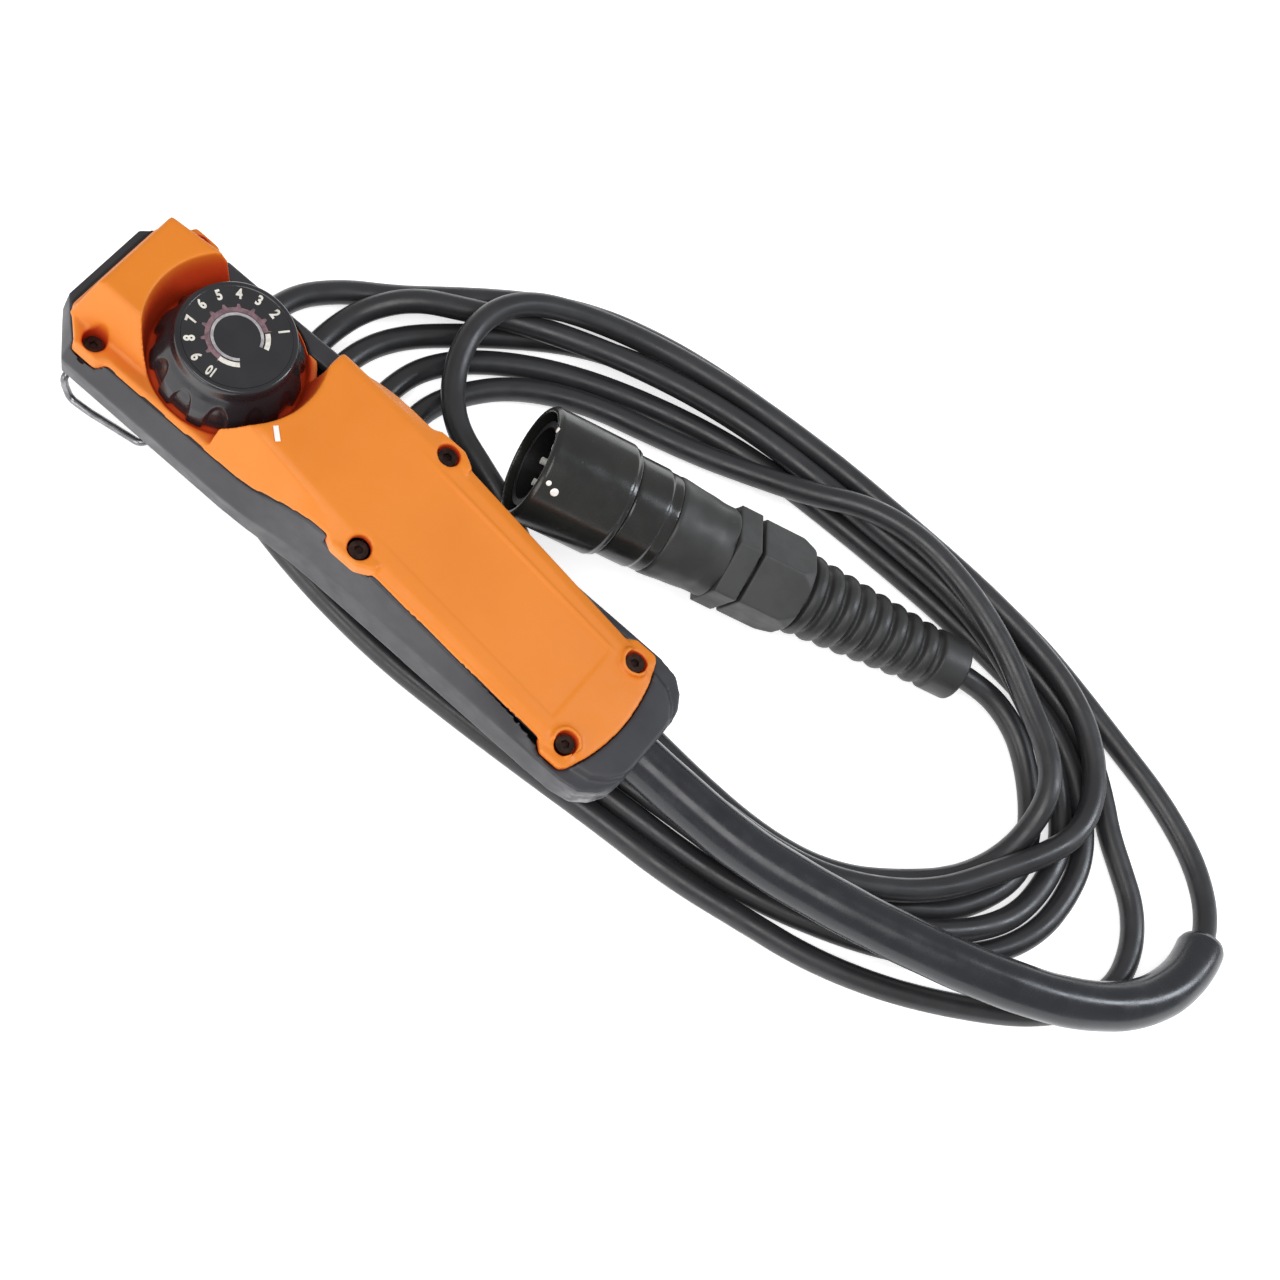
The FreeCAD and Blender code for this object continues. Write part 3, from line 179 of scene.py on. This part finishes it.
# ------------------------------------------------------------------ sleeve over the cable's first stretch
lead_line = line_of(LEAD + COIL[:2])
lead_s = arc_lengths(lead_line)
near = min(range(len(lead_line)), key=lambda i: (lead_line[i] - Vector((0.290, 0.0905, 0.0096))).length)
start = 0.003
stop = lead_s[near]
steps = 150
sleeve_line, r_out, r_in = [], [], []
for k in range(steps + 1):
    d = start + (stop - start) * k / steps
    e = min(d - start, stop - d)
    sleeve_line.append(at(lead_line, lead_s, d))
    r_out.append(0.0080 - 0.0006 * math.exp(-(e / 0.0005)) + 0.00005 * math.sin(d * 310.0))
    r_in.append(0.0043 + 0.0004 * math.exp(-(e / 0.0006)))
sleeve = tube_mesh("anti_kink_tube", sleeve_line, r_out, r_in, 56)
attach(sleeve, "handset")
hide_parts("anti_kink_sleeve")


# ------------------------------------------------------------------ finishes
def lin(r, g, b):
    def f(c):
        c /= 255.0
        return c / 12.92 if c <= 0.04045 else ((c + 0.055) / 1.055) ** 2.4
    return (f(r), f(g), f(b), 1.0)


class Finish:
    """A node material read from object coordinates, in metres."""

    def __init__(self, name):
        self.mat = bpy.data.materials.new(name)
        self.mat.use_nodes = True
        self.nt = self.mat.node_tree
        self.bsdf = self.nt.nodes["Principled BSDF"]
        self.co = self.nt.nodes.new("ShaderNodeTexCoord").outputs["Object"]

    def noise(self, scale, detail=3.0, rough=0.55, stretch=None):
        n = self.nt.nodes.new("ShaderNodeTexNoise")
        n.inputs["Scale"].default_value = scale
        n.inputs["Detail"].default_value = detail
        n.inputs["Roughness"].default_value = rough
        src = self.co
        if stretch:
            m = self.nt.nodes.new("ShaderNodeMapping")
            m.inputs["Scale"].default_value = stretch
            self.nt.links.new(self.co, m.inputs["Vector"])
            src = m.outputs["Vector"]
        self.nt.links.new(src, n.inputs["Vector"])
        return n.outputs["Fac"]

    def band(self, value, a, b, lo=0.0, hi=1.0, smooth=True):
        m = self.nt.nodes.new("ShaderNodeMapRange")
        m.interpolation_type = "SMOOTHSTEP" if smooth else "LINEAR"
        m.inputs["From Min"].default_value = a
        m.inputs["From Max"].default_value = b
        m.inputs["To Min"].default_value = lo
        m.inputs["To Max"].default_value = hi
        self.nt.links.new(value, m.inputs["Value"])
        return m.outputs["Result"]

    def axis(self, which):
        s = self.nt.nodes.new("ShaderNodeSeparateXYZ")
        self.nt.links.new(self.co, s.inputs["Vector"])
        return s.outputs[which]

    def math(self, op, a, b):
        m = self.nt.nodes.new("ShaderNodeMath")
        m.operation = op
        for socket, v in zip(m.inputs, (a, b)):
            if isinstance(v, (int, float)):
                socket.default_value = v
            else:
                self.nt.links.new(v, socket)
        return m.outputs["Value"]

    def mix(self, fac, a, b):
        m = self.nt.nodes.new("ShaderNodeMix")
        m.data_type = "RGBA"
        for socket, v in ((m.inputs["Factor"], fac), (m.inputs[6], a), (m.inputs[7], b)):
            if isinstance(v, (int, float, tuple)):
                socket.default_value = v
            else:
                self.nt.links.new(v, socket)
        return m.outputs[2]

    # Painted shade: an ambient-occlusion mask that darkens colour where surfaces crowd close, in recesses and
    # corners.
    def painted_occlusion_shade(self, distance, open_at, closed_at, amount):
        n = self.nt.nodes.new("ShaderNodeAmbientOcclusion")
        n.samples = 6
        n.inputs["Distance"].default_value = distance
        return self.band(n.outputs["AO"], open_at, closed_at, 0.0, amount)

    def edge(self, a=0.52, b=0.62):
        g = self.nt.nodes.new("ShaderNodeNewGeometry")
        return self.band(g.outputs["Pointiness"], a, b)

    def colour(self, v):
        if isinstance(v, tuple):
            self.bsdf.inputs["Base Color"].default_value = v
        else:
            self.nt.links.new(v, self.bsdf.inputs["Base Color"])

    def rough(self, v):
        if isinstance(v, (int, float)):
            self.bsdf.inputs["Roughness"].default_value = v
        else:
            self.nt.links.new(v, self.bsdf.inputs["Roughness"])

    def bump(self, *layers):
        last = None
        for height, strength, distance in layers:
            b = self.nt.nodes.new("ShaderNodeBump")
            b.inputs["Strength"].default_value = strength
            b.inputs["Distance"].default_value = distance
            self.nt.links.new(height, b.inputs["Height"])
            if last is not None:
                self.nt.links.new(last, b.inputs["Normal"])
            last = b.outputs["Normal"]
        self.nt.links.new(last, self.bsdf.inputs["Normal"])

    def set(self, **kw):
        for k, v in kw.items():
            self.bsdf.inputs[k.replace("_", " ")].default_value = v
        return self


def moulded(name, base, alt, rough, grain=0.25, grain_scale=2600.0, wear_and_highlight=None, wear_and_highlight_amount=0.5, cloud=55.0, spread=0.06):
    """Moulded plastic or rubber: cloudy tone, fine spark-eroded grain, lighter edges that stand for rubbed wear and,
    on the orange cover, for a painted edge highlight.
    """
    f = Finish(name)
    tone = f.mix(f.band(f.noise(cloud, 4.0), 0.35, 0.68), base, alt)
    if wear_and_highlight:
        # Lighter edges: rubbed wear, and on the orange cover a painted edge highlight.
        rub_and_highlight = f.math("MULTIPLY", f.edge(), f.band(f.noise(420.0, 5.0), 0.42, 0.66, 0.0, wear_and_highlight_amount))
        tone = f.mix(rub_and_highlight, tone, wear_and_highlight)
    f.colour(tone)
    f.rough(f.band(f.noise(150.0, 4.0), 0.3, 0.7, rough - spread, rough + spread))
    f.bump((f.noise(grain_scale, 2.0), grain, 0.00006), (f.noise(38.0, 2.0), 0.12, 0.0006))
    return f


def metal(name, base, alt, rough, stretch=None, metallic=1.0):
    f = Finish(name)
    f.colour(f.mix(f.band(f.noise(300.0, 4.0), 0.35, 0.65), base, alt))
    f.rough(f.band(f.noise(900.0, 3.0, stretch=stretch), 0.3, 0.7, rough - 0.07, rough + 0.1))
    f.bump((f.noise(1800.0, 2.0, stretch=stretch), 0.18, 0.00004))
    f.set(Metallic=metallic)
    return f


ORANGE, ORANGE_2 = lin(219, 125, 32), lin(214, 121, 28)
# Painted highlight: the cover's light edge colour stands for the bright lines along its rounded edges.
orange = moulded("cover_orange", ORANGE, ORANGE_2, 0.44, grain=0.2, wear_and_highlight=lin(250, 190, 128), wear_and_highlight_amount=0.6, cloud=26.0)
orange.set(Subsurface_Weight=0.05, Subsurface_Scale=0.0010)
orange.bsdf.inputs["Specular IOR Level"].default_value = 0.36
prev = orange.bsdf.inputs["Base Color"].links[0].from_socket
# Painted shade: deep red mixed into the cover's colour where the occlusion mask finds the bowl round the knob, the
# screw seats and other recesses.
orange.colour(orange.mix(orange.painted_occlusion_shade(0.016, 0.90, 0.40, 0.92), prev, lin(200, 48, 24)))
housing_black = moulded("housing_black", lin(52, 52, 56), lin(45, 45, 49), 0.46, grain=0.4, grain_scale=2100.0, wear_and_highlight=lin(120, 120, 122), wear_and_highlight_amount=0.5)
end_zone = housing_black.band(housing_black.axis("X"), 0.0925, 0.1075)
low_zone = housing_black.band(housing_black.axis("Z"), 0.0350, 0.0290)
scuff = housing_black.math("MULTIPLY", housing_black.math("MULTIPLY", end_zone, low_zone), housing_black.band(housing_black.noise(230.0, 8.0, 0.72, (0.6, 1.0, 1.6)), 0.40, 0.62))
prev = housing_black.bsdf.inputs["Base Color"].links[0].from_socket
housing_black.colour(housing_black.mix(housing_black.math("MULTIPLY", scuff, 0.75), prev, lin(158, 158, 160)))
seal_rubber = moulded("seal_rubber", lin(34, 34, 35), lin(28, 28, 29), 0.72)
knob_black = moulded("knob_black", lin(38, 38, 41), lin(31, 31, 34), 0.22, grain=0.14, wear_and_highlight=lin(90, 90, 95), wear_and_highlight_amount=0.12)
dial_black = moulded("dial_face", lin(34, 34, 36), lin(30, 30, 32), 0.44, grain=0.2)
jacket = moulded("cable_jacket", lin(45, 45, 47), lin(38, 38, 40), 0.36, grain=0.3, grain_scale=1500.0, wear_and_highlight=None, cloud=40.0, spread=0.08)
sleeve_rubber = moulded("sleeve_rubber", lin(35, 36, 41), lin(29, 30, 35), 0.25, grain=0.22, grain_scale=1100.0, cloud=60.0)
shell_black = moulded("shell_black", lin(48, 48, 47), lin(38, 38, 37), 0.46, grain=0.3, wear_and_highlight=lin(110, 110, 108), wear_and_highlight_amount=0.3)
ring_black = moulded("ring_black", lin(36, 36, 34), lin(29, 29, 28), 0.22, grain=0.14, wear_and_highlight=lin(96, 96, 92), wear_and_highlight_amount=0.3)
# Partly painted shade: a darker copy of the shell's black plastic, made darker to stand for the shade inside the
# plug's mouth.
barrel_black_painted_shade = moulded("barrel_black_painted_shade", lin(17, 17, 17), lin(12, 12, 12), 0.4, grain=0.14)
matt_shell = moulded("gland_plastic", lin(60, 60, 60), lin(51, 51, 51), 0.58, grain=0.6, grain_scale=1700.0, wear_and_highlight=lin(118, 118, 118), wear_and_highlight_amount=0.35)
boot_rubber = moulded("boot_rubber", lin(46, 46, 46), lin(39, 39, 39), 0.46, grain=0.5, grain_scale=1500.0, wear_and_highlight=lin(96, 96, 96), wear_and_highlight_amount=0.3)
# Partly painted shade: near-black insert plastic, made darker still to stand for the shade inside the plug's mouth.
insert_plastic = moulded("insert_plastic", lin(12, 11, 11), lin(8, 8, 8), 0.5)
screw_steel = metal("screw_steel", lin(70, 52, 46), lin(46, 34, 31), 0.34, metallic=0.85)
wire_steel = metal("clip_wire", lin(150, 150, 152), lin(120, 120, 123), 0.28, (1, 8, 1))
plated = metal("plated_steel", lin(190, 190, 188), lin(165, 165, 163), 0.3)
brass = metal("insert_brass", lin(196, 160, 88), lin(170, 134, 70), 0.32)
pin_metal = metal("pin_plating", lin(248, 246, 240), lin(236, 232, 226), 0.35, metallic=0.2)
board = moulded("board_green", lin(30, 92, 58), lin(24, 78, 48), 0.4)
terminal = moulded("terminal_green", lin(70, 150, 80), lin(60, 134, 70), 0.42)
wires = moulded("wire_insulation", lin(150, 60, 50), lin(60, 80, 150), 0.4, cloud=380.0)
mark_white = moulded("mark_white", lin(240, 238, 232), lin(226, 222, 214), 0.5)
print_white = moulded("print_white", lin(222, 218, 208), lin(196, 190, 180), 0.55, cloud=700.0)
print_ring = moulded("print_ring", lin(178, 172, 172), lin(140, 134, 138), 0.5, cloud=500.0)
print_rose = moulded("print_rose", lin(128, 98, 104), lin(92, 72, 78), 0.55, cloud=600.0)


def wear_finish(obj, finish):
    obj.data.materials.clear()
    obj.data.materials.append(finish.mat)


wear_finish(cable, jacket)
wear_finish(sleeve, sleeve_rubber)

# ------------------------------------------------------------------ moulded shells with rounded edges
depsgraph = bpy.context.evaluated_depsgraph_get


def softened(node, name, voxel, rounds, body, finish, factor=0.5, shape=None, added=None):
    """A moulded copy of a CAD node with edges as round as the real moulding's."""
    src = nodes[node]
    obj = link(bpy.data.objects.new(name, src.data.copy()))
    if added:
        added(obj.data)
    re = obj.modifiers.new("cells", "REMESH")
    re.mode = "VOXEL"
    re.voxel_size = voxel
    re.adaptivity = 0.0
    re.use_smooth_shade = True
    sm = obj.modifiers.new("round", "SMOOTH")
    sm.factor = factor
    sm.iterations = rounds
    mesh = bpy.data.meshes.new_from_object(obj.evaluated_get(depsgraph()))
    obj.modifiers.clear()
    obj.data = mesh
    mesh.name = name
    if shape:
        shape(mesh)
    mesh.polygons.foreach_set("use_smooth", [True] * len(mesh.polygons))
    wear_finish(obj, finish)
    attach(obj, body)
    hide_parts(node)
    return obj


def flute_floor(mesh):
    """Lathed liner behind the knob's flutes, so each flute is a shallow thumb groove."""
    profile = [(21.9, 43.9), (21.9, 47.6), (21.1, 51.6), (19.6, 55.4), (18.5, 57.6), (16.5, 57.0), (18.6, 52.6), (20.2, 50.0), (20.9, 43.9)]
    bm = bmesh.new()
    bm.from_mesh(mesh)
    segs = 96
    rows = [[bm.verts.new((-0.0621 + r * 0.001 * math.cos(2 * math.pi * k / segs), r * 0.001 * math.sin(2 * math.pi * k / segs), z * 0.001))
             for k in range(segs)] for r, z in profile]
    skin = []
    for a, b in zip(rows, rows[1:] + rows[:1]):
        for k in range(segs):
            j = (k + 1) % segs
            skin.append(bm.faces.new((a[k], b[k], b[j], a[j])))
    bmesh.ops.recalc_face_normals(bm, faces=skin)
    bm.to_mesh(mesh)
    bm.free()


def smoothstep(a, b, x):
    t = min(max((x - a) / (b - a), 0.0), 1.0)
    return t * t * (3 - 2 * t)


def crest(d, w):
    return math.exp(-(d / w) ** 2)


def cover_shape(mesh):
    """Handle panel: one long moulded line on the right, a softer step on the left and across the cable end."""
    for v in mesh.vertices:
        x, y, z = v.co.x * 1000, v.co.y * 1000, v.co.z * 1000
        top = 62.6 - 0.193 * max(0.0, x + 110.0 - 74.0)
        if x < -6 or x > 96 or z < top - 1.6:
            continue
        along = smoothstep(-6, 22, x) * (1 - smoothstep(78, 84, x))
        ridge = 0.45 * crest(y - 14.9, 0.7) * along
        inside = smoothstep(15.9, 14.3, -y) * smoothstep(16.2, 9.0, y) * smoothstep(-6, 22, x) * (1 - smoothstep(79.8, 81.4, x))
        v.co.z += (ridge - 0.22 * inside) * 0.001


def cast_shape(mesh):
    """Slow unevenness of a moulded shell under its tape-like matt skin."""
    for v in mesh.vertices:
        x, y, z = v.co.x * 1000, v.co.y * 1000, v.co.z * 1000
        lump = math.sin(x * 0.55 + 1.3 * math.sin(z * 0.31)) * math.sin(y * 0.47 + 0.8) + 0.6 * math.sin(z * 0.83 + x * 0.29)
        v.co += v.normal * lump * 0.00010
fine = 1.0
cover = softened("top_cover", "cover_moulding", 0.00048 * fine, 16, "handset", orange, shape=cover_shape)
housing = softened("bottom_housing", "housing_moulding", 0.0005 * fine, 6, "handset", housing_black)
knob = softened("control_knob", "knob_moulding", 0.00032 * fine, 12, "knob", knob_black, added=flute_floor)
ring = softened("coupling_ring", "coupling_ring_moulding", 0.00032 * fine, 5, "plug_coupling", ring_black)
rear = softened("retaining_ring", "retaining_ring_moulding", 0.00032 * fine, 5, "handset", ring_black)
back = softened("backshell", "backshell_moulding", 0.00035 * fine, 6, "handset", shell_black, shape=cast_shape)
hexa = softened("gland_body", "gland_body_moulding", 0.00035 * fine, 6, "handset", matt_shell)
nut = softened("gland_nut", "gland_nut_moulding", 0.00035 * fine, 9, "handset", matt_shell)
boot = softened("bend_relief_boot", "boot_moulding", 0.00035 * fine, 5, "handset", boot_rubber)

# ------------------------------------------------------------------ finishes of the CAD nodes that show as they are
KEPT = {
    "index_mark": mark_white, "housing_gasket": seal_rubber, "cover_screws": screw_steel, "screw_inserts": brass, "knob_dial": dial_black,
    "knob_set_screw": plated, "potentiometer_shaft": plated, "potentiometer_body": plated, "potentiometer_nut": plated, "shaft_seal": seal_rubber,
    "circuit_board": board, "board_screws": plated, "terminal_block": terminal, "lead_wires": wires, "cable_clamp": plated, "clamp_screws": plated,
    "belt_clip": wire_steel, "plug_shell": barrel_black_painted_shade, "pin_insert": insert_plastic, "contact_pins": pin_metal, "interface_seal": seal_rubber,
    "gland_seal": seal_rubber, "plug_cable_end": jacket,
}
for node_name, finish in KEPT.items():
    o = nodes[node_name]
    o.data.materials.clear()
    o.data.materials.append(finish.mat)

# ------------------------------------------------------------------ dial print
KX = -0.0621
Z_PRINT = 0.0624


def flat_piece(name, outlines, z0, thick, finish, body="knob"):
    """Thin printed patches from closed plan outlines around the knob's axis."""
    bm = bmesh.new()
    for pts in outlines:
        low = [bm.verts.new((KX + x, y, z0 - 0.00004)) for x, y in pts]
        high = [bm.verts.new((KX + x, y, z0 + thick)) for x, y in pts]
        bm.faces.new(low[::-1])
        bm.faces.new(high)
        for k in range(len(pts)):
            j = (k + 1) % len(pts)
            bm.faces.new((low[k], low[j], high[j], high[k]))
    bmesh.ops.recalc_face_normals(bm, faces=bm.faces)
    mesh = bpy.data.meshes.new(name)
    bm.to_mesh(mesh)
    bm.free()
    obj = link(bpy.data.objects.new(name, mesh))
    wear_finish(obj, finish)
    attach(obj, body)
    return obj


def polar(r, deg):
    return (r * math.cos(math.radians(deg)), r * math.sin(math.radians(deg)))


def ring_patch(r0, r1, a0, a1, step=2.0):
    n = max(2, int(abs(a1 - a0) / step))
    angles = [a0 + (a1 - a0) * k / n for k in range(n + 1)]
    return [polar(r0(a) if callable(r0) else r0, a) for a in angles] + [polar(r1(a) if callable(r1) else r1, a) for a in reversed(angles)]


A1, A10 = 53.3, 278.5
STEP = (A10 - A1) / 9.0


def toothed(a):
    off = (a - A1) / STEP
    near_tooth = abs(off - round(off)) * STEP
    return 0.0108 if near_tooth < 2.2 else (0.0102 if near_tooth < 3.6 else 0.0096)


flat_piece("dial_toothed_arc", [ring_patch(0.0081, toothed, A1 + 2.0, A10 - 2.0, 0.75)], Z_PRINT, 0.00005, print_rose)
flat_piece("dial_thin_ring", [ring_patch(0.0070, 0.0079, A1 - 34.0, A10 + 38.0, 2.0)], Z_PRINT, 0.00007, print_ring)
flat_piece("dial_end_blocks", [ring_patch(0.0084, 0.0099, A1 - 34.0, A1 - 1.0, 2.0), ring_patch(0.0084, 0.0099, A10 - 3.0, A10 + 37.0, 2.0)], Z_PRINT, 0.00008, print_white)

for k in range(10):
    label = str(k + 1)
    ang = A1 + STEP * k
    text = bpy.data.curves.new("digit_%02d" % (k + 1), "FONT")
    text.body = label
    text.size = 0.0046
    text.align_x, text.align_y = "CENTER", "CENTER"
    text.extrude = 0.00005
    text.offset = 0.00016
    text.resolution_u = 4
    tmp = link(bpy.data.objects.new("digit_tmp", text))
    mesh = bpy.data.meshes.new_from_object(tmp)
    bpy.data.objects.remove(tmp)
    x, y = polar(0.0140, ang)
    mesh.transform(Matrix.Translation((KX + x, y, Z_PRINT + 0.00004)) @ Matrix.Rotation(math.radians(ang - 90.0), 4, "Z") @ Matrix.Diagonal((0.82 if k < 9 else 0.62, 1.0, 1.0, 1.0)))
    obj = link(bpy.data.objects.new("dial_digit_%02d" % (k + 1), mesh))
    wear_finish(obj, print_white)
    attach(obj, "knob")

# ------------------------------------------------------------------ bright pins pressed into the coupling ring
PLUG_O, PLUG_AX = Vector((0.026446, 0.046963, 0.039354)), Vector((0.90663, 0.38125, -0.18075)).normalized()
PLUG_UP = (Vector((0, 0, 1)) - PLUG_AX * PLUG_AX.z).normalized()
PLUG_SIDE = PLUG_AX.cross(PLUG_UP)


def ring_pin(name, s, deg, seat, radius, along_axis=False):
    """Domed head of a pressed-in pin, seated on the ring's outer wall or on its front rim."""
    radial = PLUG_UP * math.cos(math.radians(deg)) + PLUG_SIDE * math.sin(math.radians(deg))
    foot = PLUG_O + PLUG_AX * s + radial * seat
    up = -PLUG_AX if along_axis else radial
    side = up.orthogonal().normalized()
    other = up.cross(side)
    profile = [(1.0, -0.0008), (1.0, 0.00005), (0.93, 0.00018), (0.72, 0.00029), (0.42, 0.00036)]
    bm = bmesh.new()
    segs = 28
    rows = [[bm.verts.new(foot + up * h + (side * math.cos(2 * math.pi * k / segs) + other * math.sin(2 * math.pi * k / segs)) * radius * f)
             for k in range(segs)] for f, h in profile]
    bm.faces.new(rows[0][::-1])
    bm.faces.new(rows[-1])
    for a, b in zip(rows, rows[1:]):
        for k in range(segs):
            j = (k + 1) % segs
            bm.faces.new((a[k], a[j], b[j], b[k]))
    bmesh.ops.recalc_face_normals(bm, faces=bm.faces)
    mesh = bpy.data.meshes.new(name)
    bm.to_mesh(mesh)
    bm.free()
    mesh.polygons.foreach_set("use_smooth", [True] * len(mesh.polygons))
    obj = link(bpy.data.objects.new(name, mesh))
    wear_finish(obj, pin_metal)
    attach(obj, "plug_coupling")
    return obj


ring_pins = [ring_pin("ring_pin_a", 0.0026, 46.0, 0.0189, 0.00135),
             ring_pin("ring_pin_b", -0.0004, 40.5, 0.0189, 0.0009), ring_pin("ring_pin_c", -0.0034, -14.0, 0.01735, 0.00095, True)]

# ------------------------------------------------------------------ floor, light
bm = bmesh.new()
bmesh.ops.create_grid(bm, x_segments=24, y_segments=24, size=3.0)
floor_mesh = bpy.data.meshes.new("floor")
bm.to_mesh(floor_mesh)
bm.free()
floor = link(bpy.data.objects.new("floor", floor_mesh))
floor.location = (0.1, 0.05, -0.0002)
ground = Finish("floor_white")
ground.colour(ground.mix(ground.noise(3.0, 2.0), (0.93, 0.93, 0.93, 1), (0.95, 0.95, 0.95, 1)))
ground.rough(0.9)
ground.bsdf.inputs["Specular IOR Level"].default_value = 0.0
ground.bsdf.inputs["Emission Color"].default_value = (1, 1, 1, 1)
ground.bsdf.inputs["Emission Strength"].default_value = 0.62
floor.data.materials.append(ground.mat)

world = bpy.data.worlds.new("studio")
scene.world = world
world.use_nodes = True
world.node_tree.nodes["Background"].inputs["Color"].default_value = (1.0, 1.0, 1.0, 1.0)
world.node_tree.nodes["Background"].inputs["Strength"].default_value = 0.50


def area(name, location, target, size_x, size_y, watts):
    data = bpy.data.lights.new(name, "AREA")
    data.shape = "RECTANGLE"
    data.size, data.size_y = size_x, size_y
    data.energy = watts
    obj = link(bpy.data.objects.new(name, data))
    obj.location = location
    obj.rotation_mode = "QUATERNION"
    obj.rotation_quaternion = (Vector(target) - Vector(location)).to_track_quat("-Z", "Y")
    return obj


area("softbox_top", (0.10, -0.55, 1.30), (0.08, 0.05, 0.0), 1.1, 0.7, 9.5)
area("softbox_front", (-0.35, -1.2, 0.45), (0.05, 0.0, 0.02), 1.0, 0.6, 6.0)
area("strip_right", (0.95, 0.75, 0.85), (0.1, 0.05, 0.02), 0.22, 1.0, 9.0).data.color = (0.86, 0.92, 1.0)

bpy.context.view_layer.update()
